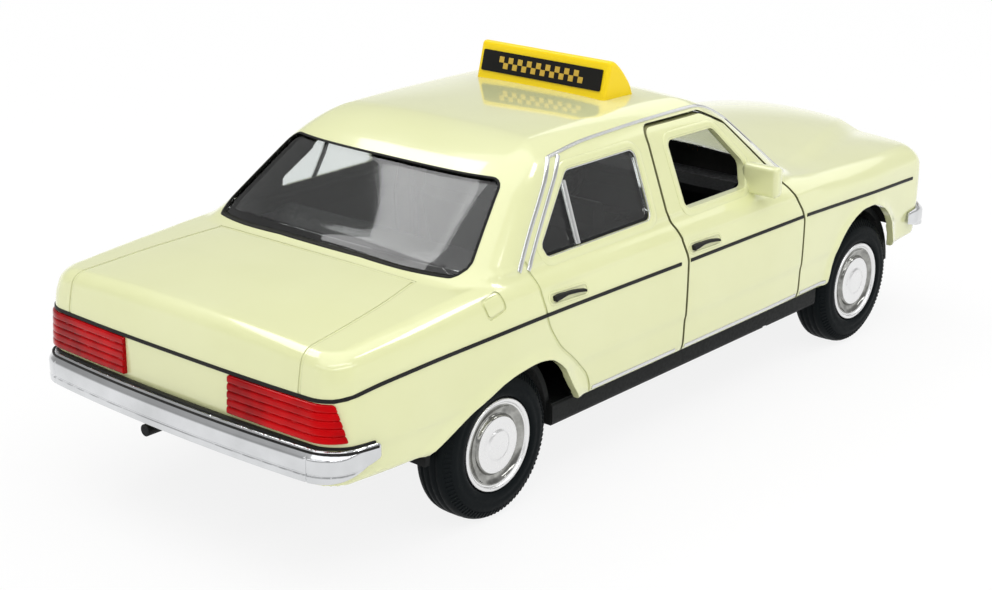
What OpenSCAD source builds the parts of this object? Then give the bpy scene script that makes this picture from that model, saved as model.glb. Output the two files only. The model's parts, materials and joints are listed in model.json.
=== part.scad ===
// Toy taxi: a die-cast four-door saloon with a pull-back motor and opening front doors.
// Millimetres, +Z up, nose towards -Y, left side towards +X, standing on its tyres at z = 0.

/* [Overall] */
// Distance between the axles
wheel_base = 71; // [69:0.5:73]
// Nose to the front axle, without the bumper
front_overhang = 18.2; // [17.4:0.1:19.2]
// Rear axle to the tail panel, without the bumper
rear_overhang = 24.4; // [23.6:0.1:25.6]

/* [Body casting] */
// Width at the rub line
body_w = 45.2; // [44:0.2:48]
// Height of the rub line
rub_h = 20.9; // [20:0.1:22]
// Height of the window sills
belt_h = 26.1; // [25.4:0.1:27]
// Height at which the roof starts to roll in
rail_h = 34.6; // [33.8:0.1:35.4]
// Height of the roof's crown
roof_h = 37.3; // [36.6:0.1:38.4]
// Height of the casting's lower edge between the wheels
sill_h = 10; // [9.6:0.1:10.6]
// Rise of the lower edge towards the nose and the tail
end_rise = 1.2; // [0.6:0.1:1.6]
// Wall of the casting
wall = 0.9; // [0.7:0.05:1]

/* [Cabin] */
// Window sills inboard of the rub line
cabin_inset = 2.2; // [1.8:0.1:2.8]
// Roof rails inboard of the window sills
rail_inset = 3.8; // [3:0.1:4.6]
// Nose to the foot of the windscreen on the centre line
cowl_setback = 31.8; // [31:0.2:33]
// Length of the boot's deck from the foot of the rear window to the tail panel
boot_l = 20.2; // [19:0.2:21.4]
// Run of the windscreen from its foot to the rail height
screen_run = 10.4; // [9:0.2:12]
// Run of the rear window from its foot to the rail height
backlight_run = 10.8; // [9:0.2:12]
// Radius of the window corners
window_r = 1.1; // [0.5:0.1:1.4]
// Thickness of the clear glazing
glass_t = 0.7; // [0.4:0.05:0.9]

/* [Doors] */
// Nose to the front shut line of the front doors
door_setback = 33.7; // [33:0.1:34.4]
// Length of a front door at the rub line
door_l = 24.8; // [24:0.1:25.6]
// Shut gap round a door
door_gap = 0.42; // [0.4:0.01:0.5]
// Height of the door's top above the roof rail height
door_top_lip = 0.5; // [0.2:0.1:0.8]
// Diameter of the hinge pin
hinge_d = 1; // [0.8:0.05:1.2]
// Hinge axis behind the front shut line
hinge_setback = 5; // [4.6:0.1:6]
// Hinge axis inboard of the rub line
hinge_inset = 2.4; // [2.2:0.1:2.8]
// Reach of the door mirror from the door's side
mirror_reach = 4.4; // [3:0.1:5]
// Height of the mirror head
mirror_h = 3.2; // [2.6:0.1:3.6]
// Depth of the mirror head
mirror_d = 2.2; // [1.6:0.1:2.6]

/* [Wheels] */
// Diameter of a tyre
tyre_d = 16.5; // [15.8:0.1:17]
// Width of a tyre
tyre_w = 5; // [4.6:0.1:5.4]
// Tyre's outer face inboard of the rub line
wheel_inset = 1.3; // [1.2:0.1:1.8]
// Diameter of the wheel disc that shows
rim_d = 10.1; // [9:0.1:11]
// Diameter of the axles
axle_d = 1.6; // [1.2:0.1:1.8]
// Radius of the wheel openings
arch_r = 8.7; // [8.4:0.1:9]
// Centre of a front wheel opening above the axle
arch_rise = 1.6; // [1.2:0.1:2]

/* [Trim] */
// Height of a bumper
bumper_h = 3.3; // [2.8:0.1:3.6]
// Depth of a bumper's bar
bumper_d = 1.2; // [1:0.1:1.6]
// Height of the bumpers' lower edge
bumper_z = 11.9; // [11.6:0.1:12.2]
// Run of the bumpers along the body's sides
bumper_wrap = 6.4; // [5:0.1:7.4]
// Height of a lamp
lamp_h = 4; // [3.4:0.1:4.4]
// Lower edge of the tail lamps
tail_lamp_z = 15.75; // [15.4:0.05:15.9]
// Gap between the two tail lamps
plate_w = 15.4; // [13:0.2:18]
// Run of the tail lamps along the body's sides
tail_lamp_wrap = 3.4; // [3:0.1:4.2]
// Width of the grille
grille_w = 12.4; // [11:0.2:13]
// Front face of a corner indicator, the headlamp fills the rest up to the grille
indicator_w = 1.9; // [1.4:0.1:2.8]
// Width of the roof sign
sign_w = 19.3; // [16:0.1:21]
// Height of the roof sign
sign_h = 4.15; // [3.6:0.05:5]
// Depth of the roof sign at its foot
sign_d = 5.5; // [4.6:0.1:6.4]

/* [Motor] */
// Gear module
gear_module = 0.4; // [0.38:0.005:0.41]
// Teeth of the axle pinion
pinion_teeth = 10; // [9:1:11]
// Teeth of the idler's large wheel
idler_teeth = 18; // [17:1:19]
// Teeth of the idler's small pinion
small_teeth = 9; // [9:1:10]
// Teeth of the spring barrel
barrel_teeth = 20; // [19:1:21]
// Width of the motor case
motor_w = 14; // [13.6:0.1:15]

/* [Hidden] */
$fn = 48;

// Clearances, cuts and facet counts
overrun = 1;
play = 0.06;
seat_gap = 0.12;
clear_gap = 0.3;
round_steps = 4;
cabin_steps = 40;

// Places along the car
body_l = front_overhang + wheel_base + rear_overhang;
nose_y = -body_l / 2;
tail_y = body_l / 2;
front_axle_y = nose_y + front_overhang;
rear_axle_y = front_axle_y + wheel_base;
axle_z = tyre_d / 2;
door_front_y = nose_y + door_setback;
door_rear_y = door_front_y + door_l;
cowl_y = nose_y + cowl_setback;
cabin_l = body_l - cowl_setback - boot_l;
cabin_w = body_w - 2 * cabin_inset;
rail_w = cabin_w - 2 * rail_inset;
door_top = rail_h + door_top_lip;
hinge_x = body_w / 2 - hinge_inset;
hinge_y = door_front_y + hinge_setback;
tyre_x = body_w / 2 - wheel_inset;

// Pull-back motor: places of its shafts and gears
pressure_angle = 20;
tip_share = 0.85;
root_share = 1.25;
tooth_share = 0.42;
flank_steps = 4;
gear_slack = 0.03;
idler_angle = 25;
idler_reach = gear_module * (pinion_teeth + idler_teeth) / 2 + gear_slack;
barrel_reach = gear_module * (small_teeth + barrel_teeth) / 2 + gear_slack;
idler_y = rear_axle_y - idler_reach * cos(idler_angle);
idler_z = axle_z + idler_reach * sin(idler_angle);
barrel_y = idler_y - barrel_reach;
barrel_z = idler_z;
case_t = 0.9;
case_gap = 0.4;
barrel_r = gear_module * (barrel_teeth / 2 + tip_share);
pinion_r = gear_module * (pinion_teeth / 2 + tip_share);
motor_front = barrel_y - barrel_r - case_gap - case_t;
motor_rear = rear_axle_y + pinion_r + case_gap + case_t;
motor_low = min(barrel_z - barrel_r, axle_z - pinion_r) - case_gap - case_t;
motor_high = barrel_z + barrel_r + case_gap + case_t;
gear_face = 2;
small_face = 2.4;
gear_x = 1.4;
arbor_d = 1.4;
idler_shaft_d = 1;
drum_t = 0.4;
flange_reach = 1.6;
flange_t = 1;

// Half width along the body: share of the length, share of half the width
plan_shares = [[0, 0.77], [0.009, 0.836], [0.025, 0.9], [0.065, 0.945], [0.15, 0.978], [0.24, 0.991],
  [0.41, 1], [0.76, 1], [0.895, 0.984], [0.956, 0.957], [0.979, 0.926], [0.988, 0.9], [0.995, 0.862],
  [1, 0.81]];
// Height of the deck's edge: share of the length, share of the sill-to-belt height
deck_shares = [[0, 0.64], [0.009, 0.7], [0.025, 0.77], [0.065, 0.83], [0.15, 0.875], [0.24, 0.91],
  [0.31, 0.95], [0.41, 0.975], [0.76, 0.98], [0.895, 0.92], [0.956, 0.885], [0.979, 0.86], [0.988, 0.8],
  [0.995, 0.65], [1, 0.62]];
// Rise of the deck's middle: share of the length, share of the sill-to-belt height
crown_shares = [[0, 0.1], [0.03, 0.16], [0.1, 0.17], [0.2, 0.15], [0.31, 0.1], [0.76, 0.05], [0.97, 0.04],
  [1, 0.01]];
// Rise of the lower edge: share of the length, share of the rise at the ends
rise_shares = [[0, 1], [0.1, 0.8], [0.16, 0], [0.78, 0], [0.86, 0.8], [1, 1]];
// Half section: share of the half width, of the sill-to-rub height, of the rub-to-deck height
side_shares = [[0.968, 0, 0], [0.982, 0.07, 0], [0.994, 0.42, 0], [1, 0.94, 0], [1, 1, 0.05],
  [0.983, 1, 0.4], [0.955, 1, 0.7], [0.92, 1, 0.9], [0.865, 1, 1]];
top_shares = [[0.6, 0.6], [0.3, 0.9]];
// Stations of the lower body
station_shares = [0, 0.004, 0.009, 0.016, 0.025, 0.045, 0.065, 0.1, 0.15, 0.19, 0.24, 0.31, 0.41, 0.5, 0.6,
  0.7, 0.76, 0.83, 0.895, 0.93, 0.956, 0.97, 0.979, 0.984, 0.988, 0.992, 0.995, 1];
// Roof roll: share of the rail-to-crown height, share of the rail's plan
roll_shares = [[0, 1], [0.3, 0.975], [0.55, 0.92], [0.75, 0.83], [0.9, 0.68], [0.97, 0.5], [1, 0.25]];
// Cabin levels under the rail: share of the belt-to-rail height
cabin_root_share = -0.45;
cabin_shares = [cabin_root_share, 0.04, 0.35, 0.68];
// Powers of the cabin's plan curve, across and along
cabin_across = 4;
cabin_along = 12;
// A wall square to the sloping windows takes more run than a wall on the sides
slope_share = 1.4;
// Half width of the skirts under the rub line
skirt_share = 0.99;
// Rub line kept under the deck's edge near the ends
rub_least = 0.3;

function half_w(t) = lookup(t, plan_shares) * body_w / 2;
function deck_z(t) = sill_h + lookup(t, deck_shares) * (belt_h - sill_h);
function bottom_z(t) = sill_h + lookup(t, rise_shares) * end_rise;
function crown(t) = lookup(t, crown_shares) * (belt_h - sill_h);
function along(y) = (y - nose_y) / body_l;
function rub_z(t, inset) = min(rub_h, deck_z(t) - inset - rub_least);
function spow(v, p) = sign(v) * pow(abs(v), p);

// One closed section of the lower body, clockwise from behind
function lower_half(t, inset, drop) =
  let (w = half_w(t) - inset, zs = deck_z(t) - inset, zr = rub_z(t, inset), zb = bottom_z(t) - drop)
  concat(
    [for (s = side_shares) [s[0] * w, zb + s[1] * (zr - zb) + s[2] * (zs - zr)]],
    [for (s = top_shares) [s[0] * w, zs + s[1] * crown(t)]]);
function lower_ring(t, inset, drop) =
  let (h = lower_half(t, inset, drop), n = len(h), y = nose_y + inset + t * (body_l - 2 * inset))
  concat(
    [for (p = h) [p[0], y, p[1]]],
    [[0, y, deck_z(t) - inset + crown(t)]],
    [for (i = [n - 1:-1:0]) [-h[i][0], y, h[i][1]]]);

// One closed level of the cabin, clockwise from above
function rail_share(z) = (z - belt_h) / (rail_h - belt_h);
function roll(z) = z > rail_h ? lookup((z - rail_h) / (roof_h - rail_h), roll_shares) : 1;
function cabin_front(z, inset) = cowl_y + min(rail_share(z), 1) * screen_run + inset;
function cabin_rear(z, inset) = cowl_y + cabin_l - min(rail_share(z), 1) * backlight_run - inset;
function cabin_mid(z) = (cabin_front(z, 0) + cabin_rear(z, 0)) / 2;
function cabin_half_l(z, inset) = roll(z) * (cabin_rear(z, inset) - cabin_front(z, inset)) / 2;
function cabin_half_w(z, inset) =
  roll(z) * ((cabin_w + min(rail_share(z), 1) * (rail_w - cabin_w)) / 2 - inset);
function cabin_ring(z, inset, drop) =
  [for (k = [0:cabin_steps - 1])
    let (a = -360 * k / cabin_steps)
    [cabin_half_w(z, inset) * spow(cos(a), 2 / cabin_across),
     cabin_mid(z) + cabin_half_l(z, inset * slope_share) * spow(sin(a), 2 / cabin_along), z - drop]];
cabin_levels = concat(
  [for (s = cabin_shares) belt_h + s * (rail_h - belt_h)],
  [for (r = roll_shares) rail_h + r[0] * (roof_h - rail_h)]);

// Side surface of the body at a place along and up the car
function lower_x(y, z) =
  let (h = lower_half(along(y), 0, 0))
  lookup(z, [for (i = [0:len(side_shares) - 1]) [h[i][1], h[i][0]]]);
function cabin_x(y, z) =
  cabin_half_w(z, 0)
  * pow(max(0, 1 - pow(abs((y - cabin_mid(z)) / cabin_half_l(z, 0)), cabin_along)), 1 / cabin_across);
function body_x(y, z) =
  z < deck_z(along(y)) ? max(lower_x(y, z), z > rub_h ? cabin_x(y, z) : 0) : cabin_x(y, z);

// Solid between rings of equal length that run clockwise as seen from the last ring
module loft(rings) {
  n = len(rings[0]);
  m = len(rings);
  polyhedron(
    points = [for (r = rings) for (p = r) p],
    faces = concat(
      [[for (j = [n - 1:-1:0]) j]],
      [[for (j = [0:n - 1]) (m - 1) * n + j]],
      [for (i = [0:m - 2]) for (j = [0:n - 1]) for (f = [0, 1])
        let (k = (j + 1) % n)
        f == 0 ? [i * n + j, i * n + k, (i + 1) * n + k] : [i * n + j, (i + 1) * n + k, (i + 1) * n + j]]));
}

// Outline with every corner rounded
function unit(v) = v / norm(v);
function corner(a, b, c, r) =
  let (u = unit(a - b), v = unit(c - b), half = acos(u * v) / 2, reach = r / tan(half))
  let (p = b + u * reach, q = b + v * reach, m = b + unit(u + v) * r / sin(half))
  [for (i = [0:round_steps])
    let (w = p + (q - p) * i / round_steps)
    m + unit(w - m) * r];
function rounded(points, r) =
  let (n = len(points))
  [for (i = [0:n - 1]) each corner(points[(i + n - 1) % n], points[i], points[(i + 1) % n], r)];

// A solid across the car from an outline along and up it
module across(points, x0, x1) {
  translate([x0, 0, 0]) rotate([90, 0, 90]) linear_extrude(x1 - x0) polygon(points);
}
module both_sides() {
  children();
  mirror([1, 0, 0]) children();
}
module block(low, high) {
  translate(low) cube(high - low);
}
module rod(r, x0, x1) {
  translate([x0, 0, 0]) rotate([0, 90, 0]) cylinder(r = r, h = x1 - x0);
}

// Windows and doors
window_drop = 1.75;
window_lift = 0.15;
window_top = rail_h - window_drop;
window_base = belt_h + window_lift;
window_h = window_top - window_base;
// Door frame's front: behind the windscreen's line at the pillar's top and foot, then along the roof rail
door_pillar_drop = 1.1;
door_foot_drop = 1;
door_pillar_gap = 3;
door_foot_gap = 5.4;
door_header_run = 3.7;
door_pillar_y = cabin_front(rail_h - door_pillar_drop, 0) + door_pillar_gap;
door_foot_y = cabin_front(belt_h - door_foot_drop, 0) + door_foot_gap;
door_header_y = door_pillar_y + door_header_run;
door_rear_belt_share = 1.05;
door_rear_top_share = 1.02;
function door_at(share) = door_front_y + share * door_l;
// Door outline along and up the car, from the lower front corner, towards the tail first
door_outline = [
  [door_front_y, sill_h],
  [door_rear_y, sill_h],
  [door_rear_y, rub_h],
  [door_at(door_rear_belt_share), belt_h],
  [door_at(door_rear_top_share), door_top],
  [door_header_y, door_top],
  [door_pillar_y, rail_h - door_pillar_drop],
  [door_foot_y, belt_h - door_foot_drop],
  [door_front_y, rub_h]];
// Door window between its front and rear frames: corners that face the outline's corners, as shares
frame_front = 0.7;
frame_rear = 2.75;
window_front_y = door_pillar_y + frame_front;
window_rear_y = door_rear_y - frame_rear;
door_window_shares = [[0.02, 0], [1, 0], [0.998, 0.2], [0.99, 0.45], [0.967, 1], [0.215, 1], [0.126, 0.8],
  [0, 0.45], [0.005, 0.2]];
door_window = [for (s = door_window_shares)
  [window_front_y + s[0] * (window_rear_y - window_front_y), window_base + s[1] * window_h]];
// Rear door window between the middle pillar and the rear quarter: corners as shares of its length and height
middle_pillar_w = 3.7;
quarter_w = 12.6;
side_front_y = door_rear_y + middle_pillar_w;
side_rear_y = cowl_y + cabin_l - quarter_w;
side_window_shares = [[0, 0], [1, 0.02], [0.667, 0.96], [-0.027, 1]];
side_window = [for (s = side_window_shares)
  [side_front_y + s[0] * (side_rear_y - side_front_y), window_base + s[1] * window_h]];
// Front and rear window: share of the half width at the sills, share of the belt-to-rail height
screen_shares = [[0.87, 0.03], [0.74, 0.93]];
backlight_shares = [[0.885, 0.02], [0.745, 0.92]];
function pane(shares) =
  let (h = [for (s = shares) [s[0] * cabin_w / 2, belt_h + s[1] * (rail_h - belt_h)]])
  [h[0], h[1], [-h[1][0], h[1][1]], [-h[0][0], h[0][1]]];
// A cut along the car from an outline across and up it
module end_cut(points, y0, y1) {
  translate([0, y1, 0]) rotate([90, 0, 0]) linear_extrude(y1 - y0) polygon(points);
}
module window_cuts() {
  end_cut(rounded(pane(screen_shares), window_r), cowl_y - overrun, cowl_y + cabin_l / 2);
  end_cut(rounded(pane(backlight_shares), window_r), cowl_y + cabin_l / 2, cowl_y + cabin_l + overrun);
  both_sides() across(rounded(side_window, window_r), rail_w / 4, body_w / 2 + overrun);
}
// Outline of the door opening, carried down past the casting's lower edge
door_opening = concat(
  [[door_front_y, sill_h - overrun], [door_rear_y, sill_h - overrun]],
  [for (i = [2:len(door_outline) - 1]) door_outline[i]]);

// Rear wheel opening about the axle: shares of the opening's radius
rear_arch_shares = [[-1.5, 0], [-1.39, 0.2], [-1.22, 0.43], [-1.06, 0.68], [-0.91, 0.82], [-0.72, 0.92],
  [-0.49, 0.95], [-0.22, 0.925], [0.07, 0.87], [0.345, 0.765], [0.61, 0.66], [0.87, 0.535], [1.14, 0.41],
  [1.32, 0.32], [1.42, 0.2], [1.45, 0]];
rear_arch = [for (s = rear_arch_shares) [rear_axle_y + s[0] * arch_r, axle_z + s[1] * arch_r]];
front_arch = [for (a = [0:15:180]) [front_axle_y + arch_r * cos(a), axle_z + arch_rise + arch_r * sin(a)]];
lip_r = 0.45;
lip_proud = 0.2;
wheel_room = 0.2;
// Cut through the sides under an arch's curve, carried down past the casting's lower edge
module arch_cut(points, y, reach) {
  foot = sill_h - arch_r;
  across(concat(points, [[y + reach, foot], [y - reach, foot]]), rail_w / 2, body_w / 2 + overrun);
}
module arch_cuts() {
  for (y = [front_axle_y, rear_axle_y])
    translate([0, y, axle_z]) both_sides() rod(tyre_d / 2 + wheel_room, rail_w / 2, tyre_x + wheel_room);
  both_sides() {
    arch_cut(rear_arch, rear_axle_y, arch_r);
    arch_cut(front_arch, front_axle_y, -arch_r);
  }
}
// Raised lip along a wheel opening
module arch_lip(points) {
  for (i = [0:len(points) - 2])
    hull() for (p = [points[i], points[i + 1]])
      if (p[1] > sill_h + lip_r)
        translate([lower_x(p[0], p[1]) - wall, p[0], p[1]]) rod(lip_r, 0, wall + lip_proud, $fn = 8);
}

// Plan of the body round one end, from the centre line to a place along the side
function end_path(tail, wrap, start_x) =
  let (y1 = tail ? tail_y : nose_y, dir = tail ? 1 : -1, stop = along(y1 - dir * wrap))
  let (list = tail ? [for (i = [len(station_shares) - 1:-1:0]) station_shares[i]] : station_shares)
  concat(
    [[start_x, y1]],
    [for (t = list) if (tail ? t > stop : t < stop) [skirt_share * half_w(t), nose_y + t * body_l]],
    [[skirt_share * half_w(stop), y1 - dir * wrap]]);
// Outward side step of a path that runs from the centre line to the body's side
function path_normal(path, i, dir) =
  let (a = path[max(i - 1, 0)], b = path[min(i + 1, len(path) - 1)], d = unit(b - a))
  i == 0 ? [0, dir] : [abs(d[1]), dir * abs(d[0])];
function offset_path(path, out, dir) =
  [for (i = [0:len(path) - 1]) path[i] + out * path_normal(path, i, dir)];
// Plan outline of a lamp that follows the body's end between two offsets
function lamp_plan(path, deep, out, dir) =
  let (o = offset_path(path, out, dir), i = offset_path(path, -deep, dir), n = len(path))
  concat(o, [for (k = [n - 1:-1:0]) i[k]]);

// Lamps
lamp_deep = 1.9;
lamp_proud = 0.15;
rib_proud = 0.3;
rib_count = 5;
rib_share = 0.62;
tail_path = end_path(true, tail_lamp_wrap, plate_w / 2);
indicator_wrap = 4.2;
lamp_spacing = 0.45;
headlamp_x = grille_w / 2 + lamp_spacing;
indicator_start = skirt_share * half_w(0) - indicator_w;
headlamp_w = indicator_start - lamp_spacing - headlamp_x;
indicator_path = end_path(false, indicator_wrap, indicator_start);
nose_lift = 0.25;
nose_lamp_z = bumper_z + bumper_h + nose_lift;
module lamp_solid(path, dir, z, out) {
  translate([0, 0, z]) linear_extrude(lamp_h) polygon(lamp_plan(path, lamp_deep, out, dir));
}
module lamp_pocket(path, dir, z) {
  translate([0, 0, z - seat_gap]) linear_extrude(lamp_h + 2 * seat_gap)
    polygon(lamp_plan(path, lamp_deep + seat_gap, overrun, dir));
  side_end = path[len(path) - 1];
  translate([0, 0, z - seat_gap]) block(
    [path[0][0] - seat_gap, dir > 0 ? path[0][1] - lamp_deep - seat_gap : path[0][1] - overrun, 0],
    [path[0][0] + seat_gap, dir > 0 ? path[0][1] + overrun : path[0][1] + lamp_deep + seat_gap,
     lamp_h + 2 * seat_gap]);
  translate([side_end[0] - lamp_deep - seat_gap, side_end[1] - seat_gap, z - seat_gap])
    cube([lamp_deep + seat_gap + overrun, 2 * seat_gap, lamp_h + 2 * seat_gap]);
}
module lamp_ribs(path, dir, z) {
  pitch = lamp_h / rib_count;
  for (i = [0:rib_count - 1])
    translate([0, 0, z + (i + (1 - rib_share) / 2) * pitch]) linear_extrude(rib_share * pitch)
      polygon(lamp_plan(path, lamp_deep / 2, rib_proud, dir));
}
module tail_lamp_right() {
  color("crimson") mirror([1, 0, 0]) {
    lamp_solid(tail_path, 1, tail_lamp_z, lamp_proud);
    lamp_ribs(tail_path, 1, tail_lamp_z);
  }
}
module tail_lamp_left() {
  color("crimson") {
    lamp_solid(tail_path, 1, tail_lamp_z, lamp_proud);
    lamp_ribs(tail_path, 1, tail_lamp_z);
  }
}
module indicator_left() {
  color("darkorange") lamp_solid(indicator_path, -1, nose_lamp_z, lamp_proud);
}
module indicator_right() {
  color("darkorange") mirror([1, 0, 0]) lamp_solid(indicator_path, -1, nose_lamp_z, lamp_proud);
}
lens_proud = 0.5;
module headlamp_lens() {
  block([headlamp_x, nose_y - lens_proud, nose_lamp_z],
    [headlamp_x + headlamp_w, nose_y + lamp_deep, nose_lamp_z + lamp_h]);
}
module headlamp_left() {
  color("lightcyan") headlamp_lens();
}
module headlamp_right() {
  color("lightcyan") mirror([1, 0, 0]) headlamp_lens();
}
module headlamp_pocket() {
  block([headlamp_x - seat_gap, nose_y - overrun, nose_lamp_z - seat_gap],
    [headlamp_x + headlamp_w + seat_gap, nose_y + lamp_deep + seat_gap, nose_lamp_z + lamp_h + seat_gap]);
}

// Grille
grille_z = bumper_z + bumper_h + nose_lift;
grille_h = 4.9;
grille_d = 1.6;
grille_frame = 0.7;
slat_count = 6;
slat_share = 0.45;
grille_peg_d = 1.6;
peg_l = 2.2;
module grille_peg(d, y0) {
  translate([0, y0, grille_z + grille_h / 2]) rotate([-90, 0, 0]) cylinder(d = d, h = peg_l);
}
module grille() {
  pitch = (grille_h - 2 * grille_frame) / slat_count;
  hole = [grille_w - 2 * grille_frame, grille_d, grille_h - 2 * grille_frame];
  color("silver") {
    difference() {
      block([-grille_w / 2, nose_y - grille_d, grille_z], [grille_w / 2, nose_y, grille_z + grille_h]);
      translate([-hole[0] / 2, nose_y - grille_d - grille_frame, grille_z + grille_frame]) cube(hole);
    }
    for (i = [0:slat_count - 1])
      block([-hole[0] / 2, nose_y - grille_d + grille_frame / 2, grille_z + grille_frame + i * pitch],
        [hole[0] / 2, nose_y - grille_frame / 2, grille_z + grille_frame + (i + slat_share) * pitch]);
    grille_peg(grille_peg_d, nose_y);
  }
}

// Bumpers: share of the depth outwards, share of the height
bumper_shares = [[0, 0], [0.75, 0], [0.94, 0.12], [1, 0.3], [1, 0.62], [0.9, 0.74], [0, 1]];
bumper_bow = 0.55;
// Height left of a bumper along its run: share of the run from the end, share of the height
bumper_drop_shares = [[0, 0.5], [0.3, 0.62], [0.7, 0.96], [0.85, 1], [1, 1]];
// Depth of a bumper along its run: share of the run from the end, share of the depth
bumper_thin_shares = [[0, 0.3], [0.5, 0.45], [0.85, 0.9], [1, 1]];
bumper_gap = 0.15;
bumper_peg_x = 8.4;
bumper_peg_d = 1.8;
bumper_peg_z = bumper_z + bumper_h / 2;
function bumper_path(tail) =
  let (p = end_path(tail, bumper_wrap, 0), dir = tail ? 1 : -1, o = offset_path(p, bumper_gap, dir))
  [for (q = o) q + [0, dir * bumper_bow * max(0, 1 - pow(q[0] / (body_w / 2), 2))]];
function bumper_ring(path, i, dir, side) =
  let (n = path_normal(path, i, dir), p = path[i], end = dir > 0 ? tail_y : nose_y)
  let (run = 1 - max(0, dir * (end - p[1])) / bumper_wrap)
  let (left = lookup(run, bumper_drop_shares), thin = lookup(run, bumper_thin_shares))
  [for (s = bumper_shares)
    let (q = p + n * s[0] * thin * bumper_d)
    [side * q[0], q[1], bumper_z + bumper_h * (1 - left * (1 - s[1]))]];
module bumper_bar(tail) {
  path = bumper_path(tail);
  dir = tail ? 1 : -1;
  n = len(path);
  rings = concat(
    [for (i = [n - 1:-1:0]) bumper_ring(path, i, dir, dir)],
    [for (i = [1:n - 1]) bumper_ring(path, i, dir, -dir)]);
  loft(rings);
}
module bumper_pegs(tail, d, y0, y1) {
  both_sides() translate([bumper_peg_x, y0, bumper_peg_z]) rotate([-90, 0, 0]) cylinder(d = d, h = y1 - y0);
}
module front_bumper() {
  color("gainsboro") {
    bumper_bar(false);
    bumper_pegs(false, bumper_peg_d, nose_y - bumper_bow - bumper_gap - bumper_d / 2, nose_y + peg_l);
  }
}
module rear_bumper() {
  color("gainsboro") {
    bumper_bar(true);
    bumper_pegs(true, bumper_peg_d, tail_y - peg_l, tail_y + bumper_bow + bumper_gap + bumper_d / 2);
  }
}

// Roof sign: shares of its depth from the rear foot, shares of its height
sign_shares = [[0, 0], [0.18, 0.9], [0.26, 1], [0.36, 0.98], [0.55, 0.82], [0.75, 0.55], [0.92, 0.25],
  [1, 0]];
sign_y = 0.9;
sign_peg_d = 2.4;
sign_peg_l = 2;
sign_profile = [for (s = sign_shares) [sign_y - s[0] * sign_d, roof_h + s[1] * sign_h]];
module sign_peg(d) {
  translate([0, sign_y - sign_d / 2, roof_h - sign_peg_l]) cylinder(d = d, h = sign_peg_l + overrun / 2);
}
module roof_sign() {
  color("gold") {
    across(sign_profile, -sign_w / 2, sign_w / 2);
    sign_peg(sign_peg_d);
  }
}
// Dark panel on the sign's rear face
panel_t = 0.15;
panel_w_share = 0.92;
panel_low_share = 0.17;
panel_high_share = 0.79;
module sign_panel() {
  foot = sign_profile[0];
  top = sign_profile[1];
  a = foot + (top - foot) * panel_low_share / sign_shares[1][1];
  b = foot + (top - foot) * panel_high_share / sign_shares[1][1];
  step = [panel_t, 0];
  color("black") across([a, b, b + step, a + step], -panel_w_share * sign_w / 2, panel_w_share * sign_w / 2);
}

// Posts that take the base screws
post_d = 4.4;
screw_d = 1.5;
screw_head_d = 3;
screw_head_h = 0.8;
screw_l = 5;
post_reach = 11;
post_front_y = front_axle_y - post_reach;
post_rear_y = rear_axle_y + post_reach;
pan_top = sill_h - seat_gap;
module post(y) {
  t = along(y);
  translate([0, y, sill_h]) cylinder(d = post_d, h = deck_z(t) + crown(t) - wall / 2 - sill_h);
}
module screw_hole(y) {
  translate([0, y, sill_h - overrun]) cylinder(d = screw_d + 2 * play, h = screw_l + overrun);
}

module body_outer(inset, drop) {
  loft([for (t = station_shares) lower_ring(t, inset, drop)]);
  loft([for (z = cabin_levels) cabin_ring(z, inset, inset)]);
}
module body_shell() {
  color("lemonchiffon") difference() {
    union() {
      difference() {
        union() {
          body_outer(0, 0);
          both_sides() {
            arch_lip(rear_arch);
            arch_lip(front_arch);
          }
        }
        body_outer(wall, overrun);
      }
      post(post_front_y);
      post(post_rear_y);
    }
    window_cuts();
    both_sides() across(door_opening, rail_w / 4, body_w / 2 + overrun);
    arch_cuts();
    screw_hole(post_front_y);
    screw_hole(post_rear_y);
    both_sides() {
      lamp_pocket(tail_path, 1, tail_lamp_z);
      lamp_pocket(indicator_path, -1, nose_lamp_z);
      headlamp_pocket();
    }
    grille_peg(grille_peg_d + 2 * play, nose_y - overrun);
    bumper_pegs(false, bumper_peg_d + 2 * seat_gap, nose_y - overrun, nose_y + peg_l + overrun);
    bumper_pegs(true, bumper_peg_d + 2 * seat_gap, tail_y - peg_l - overrun, tail_y + overrun);
    sign_peg(sign_peg_d + 2 * play);
  }
}

// Clear moulding that lies inside the cabin, open where the front doors are
module glazing() {
  outer = wall + seat_gap;
  margin = 0.6;
  color("aliceblue", 0.5) difference() {
    loft([for (z = cabin_levels) if (z > belt_h) cabin_ring(z, outer, outer)]);
    loft([for (z = cabin_levels) if (z > belt_h)
      cabin_ring(z, outer + glass_t, outer + glass_t + (z < rail_h ? overrun * (rail_h - z) / rail_h : 0))]);
    both_sides() across(
      [[door_foot_y, sill_h], [door_rear_y + margin, sill_h], [door_rear_y + margin, door_top + wall],
       [door_pillar_y - margin, door_top + wall], [door_foot_y, belt_h - door_foot_drop]],
      rail_w / 2 - 2 * wall, body_w / 2);
    sign_peg(sign_peg_d + 2 * clear_gap);
  }
}

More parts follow.
